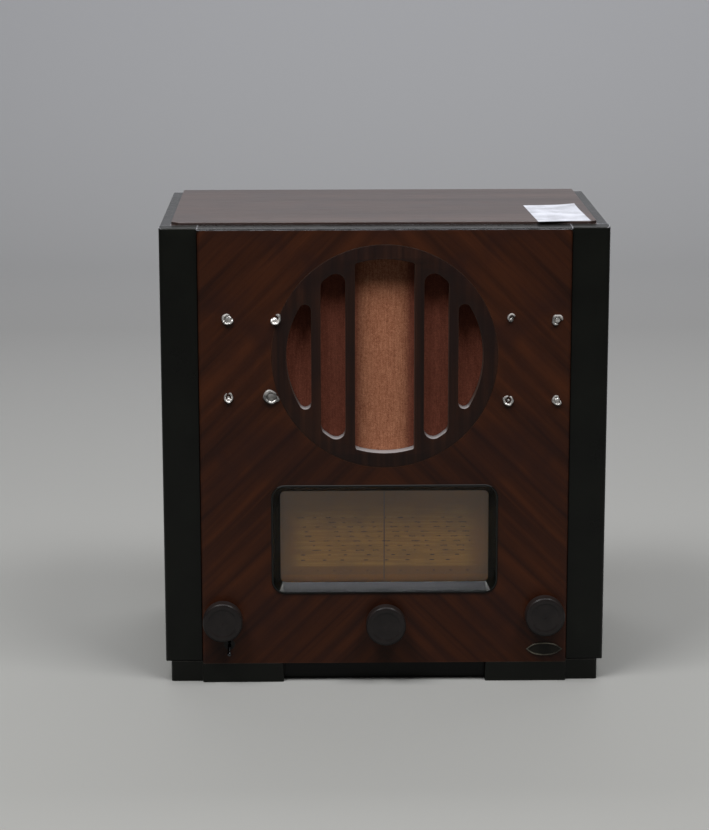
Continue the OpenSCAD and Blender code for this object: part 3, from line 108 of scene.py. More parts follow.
def grain(tree, point, size, turn=(0, 0, 0), detail=3.0, roughness=0.5, warp=0.0, shift=(0, 0, 0)):
    # noise whose features measure size along the turned axes; shift moves it off other noise
    if not isinstance(size, tuple):
        size = (size,) * 3
    placed = addNode(tree, "Mapping", {"Vector": point, "Rotation": turn, "Scale": size,
                                       "Location": shift}, vector_type="TEXTURE")
    made = addNode(tree, "TexNoise", {"Vector": placed.outputs[0], "Scale": 1.0, "Detail": detail,
                                      "Roughness": roughness, "Distortion": warp})
    return made.outputs["Fac"]


def ramp(tree, factor, stops):
    made = addNode(tree, "ValToRGB", {"Fac": factor})
    points = made.color_ramp.elements
    while len(points) < len(stops):
        points.new(0.5)
    for point, (place, colour) in zip(points, stops):
        point.position = place
        point.color = linear(*colour)
    return made.outputs["Color"]


def mottle(tree, factor, colour, darker, lighter, reach=0.2):  # shades round the noise's middle
    return ramp(tree, factor, [(0.5 - reach, shaded(colour, darker)),
                               (0.5 + reach, shaded(colour, lighter))])


def blend(tree, factor, first, second, mode="MIX"):
    made = addNode(tree, "Mix", data_type="RGBA", blend_type=mode)
    for place, value in ((0, factor), (6, first), (7, second)):  # 6 and 7 are the colour sockets
        if isinstance(value, bpy.types.NodeSocket):
            tree.links.new(value, made.inputs[place])
        else:
            made.inputs[place].default_value = linear(*value) if place else value
    return made.outputs[2]


def feed(tree, shader, colour=None, rough=None, height=None, depth=0.0001, strength=1.0):
    if colour is not None:
        tree.links.new(colour, shader.inputs["Base Color"])
    if rough is not None:
        tree.links.new(rough, shader.inputs["Roughness"])
    if height is not None:
        made = addNode(tree, "Bump", {"Height": height, "Strength": strength, "Distance": depth})
        tree.links.new(made.outputs[0], shader.inputs["Normal"])


edgeTurn = (0.02, 0.22)  # how far the surface has turned where wear starts and where it is full


def edgeMask(tree, radius):  # 1 where the surface turns within radius
    soft = addNode(tree, "Bevel", {"Radius": radius}, samples=4).outputs[0]
    flat = addNode(tree, "NewGeometry").outputs["Normal"]
    same = addNode(tree, "VectorMath", {0: soft, 1: flat}, operation="DOT_PRODUCT").outputs["Value"]
    return between(tree, calc(tree, "SUBTRACT", 1.0, same), *edgeTurn)


# wood finishes; in every look a pair called Edge is where a mark starts and where it is full

woodGrain = {"stops": (0.32, 0.48, 0.66), "patchEdge": (0.42, 0.68), "poreEdge": (0.62, 0.74),
             "fineEdge": (0.3, 0.7), "streak": (150, 150, 150), "wornWidth": 0.0012,
             "wornEdge": (0.3, 0.6), "wornShare": (0.15, 0.6), "roughSpread": (-0.05, 0.06),
             "depth": 0.00006, "relief": 0.35}


def veneerFinish(name, look):
    finish, tree, shader = startFinish(name, look["mid"], {
        "Coat Weight": look["coat"], "Coat Roughness": look["coatRough"]}, look["shine"])
    point = objectPoint(tree)
    if look["mirrored"]:  # the two halves are one leaf opened like a book
        parts = addNode(tree, "SeparateXYZ", {0: point})
        folded = calc(tree, "ABSOLUTE", parts.outputs[0])
        point = addNode(tree, "CombineXYZ", {0: folded, 1: parts.outputs[1],
                                             2: parts.outputs[2]}).outputs[0]

    def stretched(across, along):  # narrow across the figure, long along it
        size = [across, across, across]
        size[look["axis"]] = along
        return tuple(size)

    turn = look["turn"]
    bands = grain(tree, point, stretched(*look["bands"]), turn, 3.0, 0.55, 0.35)
    figure = grain(tree, point, stretched(*look["figure"]), turn, 5.0, 0.6, 0.2, (0.31, 0.17, 0.05))
    fine = grain(tree, point, stretched(*look["fine"]), turn, 2.0, 0.5, 0.0, (0.11, 0.4, 0.2))
    pores = grain(tree, point, stretched(*look["pores"]), turn, 1.0, 0.5, 0.0, (0.7, 0.1, 0.3))
    patches = grain(tree, point, look["patch"], (0, 0, 0), 3.0, 0.5, 0.4, (0.2, 0.9, 0.6))
    both = calc(tree, "ADD", calc(tree, "MULTIPLY", bands, look["bandShare"]),
                calc(tree, "MULTIPLY", figure, 1.0 - look["bandShare"]))
    shades = (look["dark"], look["mid"], look["light"])
    colour = ramp(tree, both, list(zip(woodGrain["stops"], shades)))
    tinted = blend(tree, between(tree, patches, *woodGrain["patchEdge"], 0.0, look["tintShare"]),
                   colour, look["tint"])
    streaks = ramp(tree, fine, list(zip(woodGrain["fineEdge"],
                                        (woodGrain["streak"], (255, 255, 255)))))
    streaked = blend(tree, look["fineShare"], tinted, streaks, "MULTIPLY")
    pored = blend(tree, between(tree, pores, *woodGrain["poreEdge"], 0.0, look["poreShare"]),
                  streaked, look["dark"])
    rub = calc(tree, "MULTIPLY", edgeMask(tree, woodGrain["wornWidth"]),
               between(tree, patches, *woodGrain["wornEdge"], *woodGrain["wornShare"]))
    worn = blend(tree, rub, pored, look["wear"])
    low, high = woodGrain["fineEdge"]
    least, most = (look["rough"] + spread for spread in woodGrain["roughSpread"])
    rough = addNode(tree, "MapRange", {0: fine, 1: low, 2: high, 3: least, 4: most}).outputs[0]
    feed(tree, shader, worn, rough, fine, woodGrain["depth"], woodGrain["relief"])
    return finish


panelLook = {
    "dark": (32, 14, 8), "mid": (56, 27, 13), "light": (72, 36, 17), "tint": (40, 20, 16),
    "wear": (84, 58, 42), "bands": (0.012, 0.26), "figure": (0.0042, 0.14),
    "fine": (0.0007, 0.030), "pores": (0.0005, 0.006), "patch": 0.06, "bandShare": 0.72,
    "tintShare": 0.6, "fineShare": 0.22, "poreShare": 0.3, "rough": 0.42, "coat": 0.05,
    "coatRough": 0.2, "shine": 0.16, "mirrored": True, "turn": (0, math.radians(-45), 0), "axis": 2}
discLook = dict(panelLook, dark=(22, 12, 9), mid=(38, 21, 15), light=(53, 30, 20),
                tint=(28, 17, 16), mirrored=False, turn=(0, 0, 0), bands=(0.007, 0.4),
                figure=(0.0022, 0.2), rough=0.45, revealPaintedLight=(134, 130, 130),
                revealSidePaintedShade=(70, 58, 52), cutEdge=(0.35, 0.65), paintedLitUpEdge=(0.35, 0.75))
topLook = dict(panelLook, dark=(45, 33, 29), mid=(62, 48, 44), light=(79, 63, 58),
               tint=(56, 46, 45), mirrored=False, turn=(0, 0, 0), axis=0, bands=(0.018, 0.5),
               figure=(0.004, 0.3), rough=0.36, coat=0.2, coatRough=0.14, shine=0.26)
plainLook = dict(panelLook, dark=(118, 88, 56), mid=(150, 116, 78), light=(174, 140, 98),
                 tint=(142, 112, 82), wear=(150, 116, 78), mirrored=False, turn=(0, 0, 0), axis=0,
                 bands=(0.012, 0.3), rough=0.62, coat=0.0, coatRough=0.3)

panelVeneer = veneerFinish("panelVeneer", panelLook)
topVeneer = veneerFinish("topVeneer", topLook)
plainBoard = veneerFinish("plainBoard", plainLook)


def discFinish(look):
    # the face is veneered; the slots' reveals are painted pale where they face up, a painted
    # highlight, and darker on their upright sides, painted shade
    finish = veneerFinish("discVeneer", look)
    tree = finish.node_tree
    shader = tree.nodes["Principled BSDF"]
    face = shader.inputs["Base Color"].links[0].from_socket
    normal = addNode(tree, "SeparateXYZ", {0: addNode(tree, "TexCoord").outputs["Normal"]})
    facing = calc(tree, "ABSOLUTE", normal.outputs[1])
    cut = between(tree, facing, *look["cutEdge"], 1.0, 0.0)
    # painted highlight on the reveals that face up, painted shade on their upright sides
    paintedLitUp = between(tree, normal.outputs[2], *look["paintedLitUpEdge"])
    revealPaintedLight = blend(tree, paintedLitUp, look["revealSidePaintedShade"], look["revealPaintedLight"])
    feed(tree, shader, blend(tree, cut, face, revealPaintedLight))
    return finish


discVeneer = discFinish(discLook)


# lacquer: dusty, scuffed, and paler on its edges above a given height: rubbed through on the black
# lacquer, enamel and pointer; on the rail, side panels and posts the near-white edge is a painted
# highlight, broken up by the chip noise

lacquerGrain = {"dustSize": 0.0009, "cloudSize": 0.05, "chipSize": 0.009,
                "scuffSize": (0.0006, 0.05, 0.03), "scuffTurn": (0.3, 0.1, 0.7),
                "darker": 0.8, "lighter": 1.3, "dust": (62, 60, 56), "dustEdge": (0.68, 0.8),
                "dustShare": 0.15, "rubAndHighlightFade": 0.004, "chipEdge": (0.3, 0.7), "leastRubAndHighlight": 0.3,
                "scuffEdge": (0.66, 0.72), "scuffRough": 0.1, "cloudRough": 0.14,
                "coat": 0.05, "coatRough": 0.12, "depth": 0.0004, "relief": 0.15}


def lacquerFinish(name, colour, rough, wearAndHighlightColour, shine=0.14, rubAndHighlightShare=0.7, rubAndHighlightWidth=0.001,
                  rubAndHighlightFrom=-1.0):
    look = lacquerGrain
    finish, tree, shader = startFinish(name, colour, {
        "Coat Weight": look["coat"], "Coat Roughness": look["coatRough"]}, shine)
    point = objectPoint(tree)
    dust = grain(tree, point, look["dustSize"], detail=2.0)
    cloud = grain(tree, point, look["cloudSize"], detail=4.0, shift=(0.2, 0.5, 0.1))
    chips = grain(tree, point, look["chipSize"], detail=5.0, shift=(0.7, 0.2, 0.4))
    scuffs = grain(tree, point, look["scuffSize"], look["scuffTurn"], 2.0)
    shade = mottle(tree, cloud, colour, look["darker"], look["lighter"])
    dusty = blend(tree, between(tree, dust, *look["dustEdge"], 0.0, look["dustShare"]), shade,
                  look["dust"])
    high = addNode(tree, "SeparateXYZ", {0: point}).outputs[2]  # the upper edges are rubbed most, and carry the painted highlight
    uneven = between(tree, chips, *look["chipEdge"], look["leastRubAndHighlight"] * rubAndHighlightShare, rubAndHighlightShare)
    rub = calc(tree, "MULTIPLY", between(tree, high, rubAndHighlightFrom, rubAndHighlightFrom + look["rubAndHighlightFade"]),
               calc(tree, "MULTIPLY", edgeMask(tree, rubAndHighlightWidth), uneven))
    worn = blend(tree, rub, dusty, wearAndHighlightColour)
    base = calc(tree, "MULTIPLY_ADD", cloud, look["cloudRough"], rough - look["cloudRough"] / 2)
    roughness = calc(tree, "MULTIPLY_ADD", between(tree, scuffs, *look["scuffEdge"]),
                     look["scuffRough"], base)
    feed(tree, shader, worn, roughness, cloud, look["depth"], look["relief"])
    return finish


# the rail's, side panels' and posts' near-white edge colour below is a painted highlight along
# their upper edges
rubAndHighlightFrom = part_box("front_top_rail")[1].z - 0.007
blackLacquer = lacquerFinish("blackLacquer", (15, 16, 13), 0.30, (92, 88, 84))
edgeLacquer = lacquerFinish("edgeLacquer", (16, 16, 15), 0.26, (196, 197, 206), 0.3, 1.0, 0.0012,
                            rubAndHighlightFrom)
postLacquer = lacquerFinish("postLacquer", (14, 15, 12), 0.30, (206, 206, 212), 0.14, 1.0, 0.0014,
                            rubAndHighlightFrom)
print("finishes: wood and lacquer")


# metals: stained in patches, with fine lines of the size that brushed gives

metalGrain = {"stainSize": 0.012, "stainReach": 0.15, "stainRough": 0.22, "lineRough": 0.15,
              "roughLess": 0.18, "depth": 0.00002, "relief": 0.3}


def metalFinish(name, colour, rough, brushed=(0.004, 0.0004, 0.004), dull=0.25, metallic=1.0):
    look = metalGrain
    finish, tree, shader = startFinish(name, colour, {"Metallic": metallic})
    point = objectPoint(tree)
    lines = grain(tree, point, brushed, detail=3.0)
    stain = grain(tree, point, look["stainSize"], detail=4.0, shift=(0.4, 0.2, 0.8))
    shade = mottle(tree, stain, colour, 1 - dull, 1.0, look["stainReach"])
    lined = calc(tree, "MULTIPLY_ADD", lines, look["lineRough"], rough - look["roughLess"])
    feed(tree, shader, shade, calc(tree, "MULTIPLY_ADD", stain, look["stainRough"], lined), lines,
         look["depth"], look["relief"])
    return finish


# pressed mouldings: flecked, and a little paler on their edges

mouldingGrain = {"cloudSize": 0.009, "fleckSize": 0.0007, "fleckEdge": (0.62, 0.75),
                 "darker": 0.85, "lighter": 1.15, "wornWidth": 0.0006, "wornShare": 0.25,
                 "wornTimes": 1.7, "wornPlus": 10, "cloudRough": 0.14, "coatRough": 0.12,
                 "depth": 0.00002, "relief": 0.2}


def mouldingFinish(name, colour, rough, coat=0.05, fleck=(48, 42, 38), fleckShare=0.12, shine=0.2):
    look = mouldingGrain
    finish, tree, shader = startFinish(name, colour, {
        "Coat Weight": coat, "Coat Roughness": look["coatRough"]}, shine)
    point = objectPoint(tree)
    cloud = grain(tree, point, look["cloudSize"], detail=4.0)
    flecks = grain(tree, point, look["fleckSize"], detail=2.0, shift=(0.3, 0.3, 0.9))
    shade = mottle(tree, cloud, colour, look["darker"], look["lighter"])
    flecked = blend(tree, between(tree, flecks, *look["fleckEdge"], 0.0, fleckShare), shade, fleck)
    rub = calc(tree, "MULTIPLY", edgeMask(tree, look["wornWidth"]), look["wornShare"])
    worn = blend(tree, rub, flecked,
                 tuple(min(255, c * look["wornTimes"] + look["wornPlus"]) for c in colour))
    roughness = calc(tree, "MULTIPLY_ADD", cloud, look["cloudRough"],
                     rough - look["cloudRough"] / 2)
    feed(tree, shader, worn, roughness, flecks, look["depth"], look["relief"])
    return finish


# the dial's bezel: smooth gloss that only fine scratches break, and dust has dulled its upper edge

bezelLook = {"colour": (11, 12, 10), "rough": 0.15, "coat": 0.0, "coatRough": 0.08, "shine": 0.26,
             "scratchSize": (0.02, 0.004, 0.0004), "scratchTurn": (0.0, 0.2, 0.0),
             "scratchEdge": (0.66, 0.70), "scratchRough": 0.12, "cloudSize": 0.02,
             "darker": 0.9, "lighter": 1.1, "dullHigh": 0.0025, "dullFade": 0.001,
             "dullRough": 0.45, "depth": 0.00001, "relief": 0.2}


def bezelFinish(look):
    finish, tree, shader = startFinish("bezelPlastic", look["colour"], {
        "Coat Weight": look["coat"], "Coat Roughness": look["coatRough"]}, look["shine"])
    point = objectPoint(tree)
    lines = grain(tree, point, look["scratchSize"], look["scratchTurn"], 2.0)
    cloud = grain(tree, point, look["cloudSize"], detail=3.0)
    shade = mottle(tree, cloud, look["colour"], look["darker"], look["lighter"])
    scratch = between(tree, lines, *look["scratchEdge"])
    high = addNode(tree, "SeparateXYZ", {0: point}).outputs[2]
    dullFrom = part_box("dial_bezel")[1].z - look["dullHigh"]
    dull = between(tree, high, dullFrom, dullFrom + look["dullFade"], 0.0, look["dullRough"])
    rough = calc(tree, "ADD", dull,
                 calc(tree, "MULTIPLY_ADD", scratch, look["scratchRough"], look["rough"]))
    feed(tree, shader, shade, rough, lines, look["depth"], look["relief"])
    return finish


# loudspeaker cloth: coarse sandy yarn; the strip behind the middle slot is given paler colours and
# the cloth further out darker, redder ones: painted light and painted shade

clothLook = {
    "thread": (168, 109, 80), "shade": (130, 78, 55), "bright": (197, 138, 105),
    "shadedCloth": (126, 70, 53), "shadedClothDark": (102, 54, 40), "shadedClothLight": (148, 86, 67),
    "paintedLightFrom": 0.017, "paintedLightTo": 0.027, "paintedLightWander": 0.003, "pitch": 0.0016,
    "gritSize": 0.0011, "sandSize": 0.0045, "slubSize": (0.0009, 0.01, 0.014),
    "gritShare": 0.63, "sandShare": 0.12, "slubShare": 0.25, "weaveShare": 0.035,
    "stops": (0.36, 0.5, 0.64), "rough": 0.92, "sheen": 0.12, "sheenRough": 0.5, "shine": 0.1,
    "weaveRelief": 0.4, "depth": 0.00022, "relief": 0.6}


def clothFinish(look):
    finish, tree, shader = startFinish("speakerWeave", look["thread"], {
        "Roughness": look["rough"], "Sheen Weight": look["sheen"],
        "Sheen Roughness": look["sheenRough"]}, look["shine"])
    point = objectPoint(tree)
    parts = addNode(tree, "SeparateXYZ", {0: point})
    turns = 2 * math.pi / look["pitch"]
    across = calc(tree, "SINE", calc(tree, "MULTIPLY", parts.outputs[0], turns))
    up = calc(tree, "SINE", calc(tree, "MULTIPLY", parts.outputs[2], turns))
    crossing = calc(tree, "MULTIPLY", across, up)
    grit = grain(tree, point, look["gritSize"], detail=3.0, roughness=0.75)
    sand = grain(tree, point, look["sandSize"], detail=3.0, roughness=0.6, shift=(0.5, 0.2, 0.4))
    slub = grain(tree, point, look["slubSize"], detail=2.0, shift=(0.1, 0.8, 0.3))
    mixed = calc(tree, "ADD", calc(tree, "MULTIPLY", slub, look["slubShare"]),
                 calc(tree, "ADD", calc(tree, "MULTIPLY", sand, look["sandShare"]),
                      calc(tree, "MULTIPLY", grit, look["gritShare"])))
    lit = calc(tree, "MULTIPLY_ADD", crossing, look["weaveShare"], mixed)
    # painted shade: away from the middle strip the cloth turns to the darker, redder colours, as
    # behind the narrow slots
    wide = calc(tree, "ABSOLUTE", calc(tree, "MULTIPLY_ADD", sand, look["paintedLightWander"],
                                       parts.outputs[0]))
    paintedShadeMask = between(tree, wide, look["paintedLightFrom"], look["paintedLightTo"])
    pale, shadedCloth = (ramp(tree, lit, list(zip(look["stops"], [look[key] for key in keys])))
                   for keys in (("shade", "thread", "bright"),
                                ("shadedClothDark", "shadedCloth", "shadedClothLight")))
    feed(tree, shader, blend(tree, paintedShadeMask, pale, shadedCloth), None,
         calc(tree, "MULTIPLY_ADD", crossing, look["weaveRelief"], grit), look["depth"],
         look["relief"])
    return finish


speakerWeave = clothFinish(clothLook)


# paper, card and other matt fibre

paperGrain = {"cloudSize": 0.02, "reach": 0.14, "darker": 0.78, "lighter": 1.12,
              "depth": 0.0001, "relief": 0.4}


def paperFinish(name, colour, fibre=0.0012, rough=0.85):
    look = paperGrain
    finish, tree, shader = startFinish(name, colour, {"Roughness": rough})
    point = objectPoint(tree)
    fibres = grain(tree, point, fibre, detail=5.0, roughness=0.7)
    cloud = grain(tree, point, look["cloudSize"], detail=3.0, shift=(0.6, 0.1, 0.2))
    both = calc(tree, "MULTIPLY_ADD", fibres, 0.5, calc(tree, "MULTIPLY", cloud, 0.5))
    feed(tree, shader, mottle(tree, both, colour, look["darker"], look["lighter"], look["reach"]),
         None, fibres, look["depth"], look["relief"])
    return finish


# dial card: a bright field and an orange strip below it; the field fades into the darker edge
# colour over a long reach at its top and sides, a painted shade from the bezel

dialLook = {"field": (166, 116, 48), "fieldPale": (182, 129, 54), "edge": (144, 96, 42),
            "strip": (160, 100, 28), "stain": (118, 86, 54), "rough": 0.7, "shine": 0.2,
            "fieldHalf": 0.083, "fieldTop": 0.166, "fieldLow": 0.1045, "stripTop": 0.0965,
            "sidePaintedShade": (-0.014, 0.006), "topPaintedShade": (-0.034, 0.008), "lowSoft": 0.0012,
            "stripSoft": 0.0008, "lineSize": (0.05, 0.05, 0.0022), "lineEdge": (0.4, 0.62),
            "stainSize": (0.018, 0.018, 0.012), "stainEdge": (0.4, 0.75), "stainShare": 0.3,
            "speckSize": 0.0009, "speckEdge": (0.6, 0.75), "speckShare": 0.2,
            "depth": 0.00005, "relief": 0.2}


def dialFinish(look):
    finish, tree, shader = startFinish("dialCard", look["field"], {"Roughness": look["rough"]},
                                       look["shine"])
    point = objectPoint(tree)
    parts = addNode(tree, "SeparateXYZ", {0: point})
    high = parts.outputs[2]
    wide = calc(tree, "ABSOLUTE", parts.outputs[0])
    # painted shade: toward the top and sides the field fades slowly into the darker edge colour
    inWidth = between(tree, wide, *(look["fieldHalf"] + soft for soft in look["sidePaintedShade"]),
                      1.0, 0.0)
    inTop = between(tree, high, *(look["fieldTop"] + soft for soft in look["topPaintedShade"]), 1.0, 0.0)
    inLow = between(tree, high, look["fieldLow"] - look["lowSoft"],
                    look["fieldLow"] + look["lowSoft"])
    inside = calc(tree, "MULTIPLY", inWidth, calc(tree, "MULTIPLY", inTop, inLow))
    strip = between(tree, high, look["stripTop"] - look["stripSoft"],
                    look["stripTop"] + look["stripSoft"], 1.0, 0.0)
    edge = blend(tree, strip, look["edge"], look["strip"])
    lines = grain(tree, point, look["lineSize"], detail=2.0)
    stain = grain(tree, point, look["stainSize"], detail=4.0)
    speckle = grain(tree, point, look["speckSize"], detail=3.0, shift=(0.2, 0.7, 0.3))
    field = blend(tree, between(tree, lines, *look["lineEdge"]), look["field"], look["fieldPale"])
    card = blend(tree, inside, edge, field)
    aged = blend(tree, between(tree, stain, *look["stainEdge"], 0.0, look["stainShare"]), card,
                 look["stain"])
    specked = blend(tree, between(tree, speckle, *look["speckEdge"], 0.0, look["speckShare"]),
                    aged, look["stain"])
    feed(tree, shader, specked, None, stain, look["depth"], look["relief"])
    return finish


dialCard = dialFinish(dialLook)


# glass: plain over the dial; the valves' bulbs are silvered by the getter at the top

dialGlass = startFinish("clearGlass", (250, 252, 250), {
    "Roughness": 0.02, "Transmission Weight": 1.0, "IOR": 1.45}, 0.12)[0]

bulbLook = {"clear": (236, 240, 236), "silver": (120, 118, 114), "rough": 0.03, "ior": 1.47,
            "silverLow": 0.018, "silverHigh": 0.012, "wander": 0.012, "wanderSize": 0.02}


def bulbFinish(look):
    finish, tree, shader = startFinish("valveGlass", look["clear"], {
        "Roughness": look["rough"], "IOR": look["ior"]})
    parts = addNode(tree, "SeparateXYZ", {0: objectPoint(tree)})
    patch = grain(tree, objectPoint(tree), look["wanderSize"], detail=3.0)
    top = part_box("mixer_valve")[1].z
    height = calc(tree, "MULTIPLY_ADD", patch, look["wander"], parts.outputs[2])
    silver = between(tree, height, top - look["silverLow"], top - look["silverHigh"])
    tree.links.new(calc(tree, "SUBTRACT", 1.0, silver), shader.inputs["Transmission Weight"])
    tree.links.new(silver, shader.inputs["Metallic"])
    feed(tree, shader, blend(tree, silver, look["clear"], look["silver"]))
    return finish


valveGlass = bulbFinish(bulbLook)
blackEnamel = lacquerFinish("blackEnamel", (22, 22, 23), 0.42, (70, 66, 62))
pointerPaint = lacquerFinish("pointerPaint", (112, 84, 54), 0.5, (80, 62, 44))
printInk = paperFinish("printInk", (72, 50, 30))
labelPaper = paperFinish("labelPaper", (172, 174, 182), 0.0008, 0.75)
conePaper = paperFinish("conePaper", (54, 47, 40))
surroundCloth = paperFinish("surroundCloth", (62, 52, 44), 0.0006)
windingPaper = paperFinish("windingPaper", (126, 84, 46), 0.003, 0.6)
pressboard = paperFinish("pressboard", (112, 82, 52), 0.0015, 0.8)
cordYarn = paperFinish("cordYarn", (120, 98, 62), 0.0005)
bezelPlastic = bezelFinish(bezelLook)
knobBakelite = mouldingFinish("knobBakelite", (31, 27, 26), 0.32, 0.12, (50, 44, 40))
blackMoulding = mouldingFinish("blackMoulding", (22, 20, 18), 0.38)
brownLaminate = mouldingFinish("brownLaminate", (96, 58, 32), 0.42, 0.1, (140, 98, 60), 0.4)
blackRubber = mouldingFinish("blackRubber", (22, 22, 22), 0.62, 0.0)
badgeFill = mouldingFinish("badgeFill", (31, 28, 22), 0.45, 0.0, (66, 60, 48), 0.35)
badgeRim = metalFinish("badgeRim", (128, 122, 106), 0.34, (0.002, 0.002, 0.0005), 0.55, 0.4)
copperWire = metalFinish("copperWire", (176, 98, 58), 0.34, (0.02, 0.0003, 0.02))
platedSteel = metalFinish("platedSteel", (158, 156, 148), 0.42)
bareAluminium = metalFinish("bareAluminium", (190, 190, 186), 0.4, (0.0004, 0.003, 0.02))
lampBrass = metalFinish("lampBrass", (182, 146, 78), 0.32)
darkMetal = metalFinish("darkMetal", (88, 90, 94), 0.3)
fixingPlate = metalFinish("fixingPlate", (226, 223, 219), 0.34, (0.0008, 0.0008, 0.0008), 0.45,
                          0.6)
print("finishes: metals, mouldings, cloth and paper")

finishOf = {
    "black_lacquer": blackLacquer, "top_veneer": topVeneer, "walnut_veneer": panelVeneer,
    "grille_veneer": discVeneer, "plain_board": plainBoard, "pressboard": pressboard,
    "speaker_fabric": speakerWeave, "black_enamel": blackEnamel, "cone_paper": conePaper,
    "copper": copperWire, "winding_paper": windingPaper, "bezel_plastic": bezelPlastic,
    "clear_glass": valveGlass, "dial_card": dialCard, "plated_steel": platedSteel,
    "pointer_black": pointerPaint, "lamp_brass": lampBrass, "drive_cord_yarn": cordYarn,
    "bare_aluminium": bareAluminium, "knob_bakelite": knobBakelite,
    "brown_laminate": brownLaminate, "black_moulding": blackMoulding, "dark_metal": darkMetal,
    "black_rubber": blackRubber, "fixing_brass": fixingPlate}
finishOfNode = {"dial_glass": dialGlass, "speaker_surround": surroundCloth,
                "front_top_rail": edgeLacquer, "side_panel_left": edgeLacquer,
                "side_panel_right": edgeLacquer, "corner_post_left": postLacquer,
                "corner_post_right": postLacquer}

for part in frame["record"]["subparts"]:
    finish = finishOfNode.get(part["node"], finishOf[part["material_slot"]])
    for place in cadNodes[part["node"]].material_slots:
        place.material = finish
print("finishes: given to every solid")


# mesh helpers

sharpTurn = math.radians(38)  # a crease that turns more than this stays crisp


def facingFront(place):  # lays what was drawn flat upright at place, facing the front
    return Matrix.Translation(place) @ Matrix.Rotation(math.pi / 2, 4, "X")


def finishPiece(work, name, finish, smooth=True):
    mesh = bpy.data.meshes.new(name)
    bmesh.ops.remove_doubles(work, verts=work.verts, dist=tiny)
    bmesh.ops.recalc_face_normals(work, faces=work.faces)
    work.to_mesh(mesh)
    work.free()
    piece = bpy.data.objects.new(name, mesh)
    bpy.context.scene.collection.objects.link(piece)
    mesh.materials.append(finish)
    if smooth:
        mesh.shade_smooth()
        mesh.set_sharp_from_angle(angle=sharpTurn)
    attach(piece, "cabinet")
    return piece


def addCurve(work, curve, placing):  # the filled curve's mesh, moved by placing, joins work
    holder = bpy.data.objects.new(curve.name, curve)
    flat = bpy.data.meshes.new_from_object(holder)
    flat.transform(placing)
    work.from_mesh(flat)
    bpy.data.meshes.remove(flat)
    bpy.data.objects.remove(holder)
    bpy.data.curves.remove(curve)


# loudspeaker cloth, stretched over the front of the baffle

clothSheet = {"squares": 96, "ripple": 0.00012, "rippleSize": 0.03, "thick": 0.0005}
clothLow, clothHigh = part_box("speaker_cloth")
clothSide = clothHigh.x - clothLow.x
work = bmesh.new()
bmesh.ops.create_grid(work, x_segments=clothSheet["squares"], y_segments=clothSheet["squares"],
                      size=clothSide / 2, matrix=facingFront((clothLow + clothHigh) / 2))
for corner in work.verts:
    corner.co.y += clothSheet["ripple"] * noise.noise(corner.co / clothSheet["rippleSize"])
bmesh.ops.recalc_face_normals(work, faces=work.faces)
bmesh.ops.solidify(work, geom=work.faces[:], thickness=clothSheet["thick"])
speakerSheet = finishPiece(work, "speakerSheet", speakerWeave)
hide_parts("speaker_cloth")
print("piece: loudspeaker cloth")


# veneered grille disc: a flat outline with its five slots, given its thickness and eased edges

grilleFace = {"ring": 0.013, "bar": 0.0086, "middleHalf": 0.0265, "slotEdge": 0.0003,
              "middleRound": 0.0025, "slotRound": 0.0085, "outerRound": 0.0054, "eased": 0.0003,
              "easedSteps": 2, "arcSteps": 10, "circleSteps": 144}
discLow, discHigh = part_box("grille_disc")
discRadius = (discHigh.x - discLow.x) / 2
openRadius = discRadius - grilleFace["ring"]


def arc(middle, radius, start, end, steps):
    return [middle + radius * Vector((math.cos(a), math.sin(a)))
            for a in (start + (end - start) * k / steps for k in range(steps + 1))]


def slotOutline(near, far, roundness):
    # upright edges at near and far, joined by the circle of the whole opening
    steps = grilleFace["arcSteps"]

    def cornerAt(edge, side):
        x = edge + side * roundness
        return Vector((x, math.sqrt((openRadius - roundness) ** 2 - x * x)))

    first = cornerAt(near, 1)
    firstTurn = math.atan2(first.y, first.x)
    upper = arc(first, roundness, math.pi, firstTurn, steps)
    if far < openRadius:
        last = cornerAt(far, -1)
        lastTurn = math.atan2(last.y, last.x)
        upper += arc(Vector((0, 0)), openRadius, firstTurn, lastTurn, steps)
        upper += arc(last, roundness, lastTurn, 0, steps)
    else:
        upper += arc(Vector((0, 0)), openRadius, firstTurn, 0, steps)
    return upper + [Vector((p.x, -p.y)) for p in reversed(upper)]


slotWide = (openRadius - grilleFace["slotEdge"] - grilleFace["middleHalf"]
            - 2 * grilleFace["bar"]) / 2
slotNear = grilleFace["middleHalf"] + grilleFace["bar"]
outerNear = slotNear + slotWide + grilleFace["bar"]
outlines = [arc(Vector((0, 0)), discRadius, 0, 2 * math.pi, grilleFace["circleSteps"]),
            slotOutline(-grilleFace["middleHalf"], grilleFace["middleHalf"],
                        grilleFace["middleRound"])]
for outline in (slotOutline(slotNear, slotNear + slotWide, grilleFace["slotRound"]),
                slotOutline(outerNear, openRadius, grilleFace["outerRound"])):
    outlines += [outline, [Vector((-p.x, p.y)) for p in reversed(outline)]]
drawing = bpy.data.curves.new("grilleDrawing", "CURVE")
drawing.dimensions = "2D"
drawing.fill_mode = "BOTH"
drawing.bevel_depth = grilleFace["eased"]
drawing.bevel_resolution = grilleFace["easedSteps"]
drawing.offset = -grilleFace["eased"]
drawing.extrude = (discHigh.y - discLow.y) / 2 - grilleFace["eased"]
for outline in outlines:
    spline = drawing.splines.new("POLY")
    kept = [p for p, q in zip(outline, outline[1:] + outline[:1]) if (p - q).length > tiny]
    spline.points.add(len(kept) - 1)
    for point, place in zip(spline.points, kept):
        point.co = (place.x, place.y, 0, 1)
    spline.use_cyclic_u = True
work = bmesh.new()
addCurve(work, drawing, facingFront((discLow + discHigh) / 2))
grilleVeneer = finishPiece(work, "grilleVeneer", discVeneer)
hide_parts("grille_disc")
print("piece: grille disc, %.1f mm high outer slots" % (2000 * max(p.y for p in outlines[-1])))


# dial print: slanting groups of plain dashes, two rows of longer ones, and plain numbers below

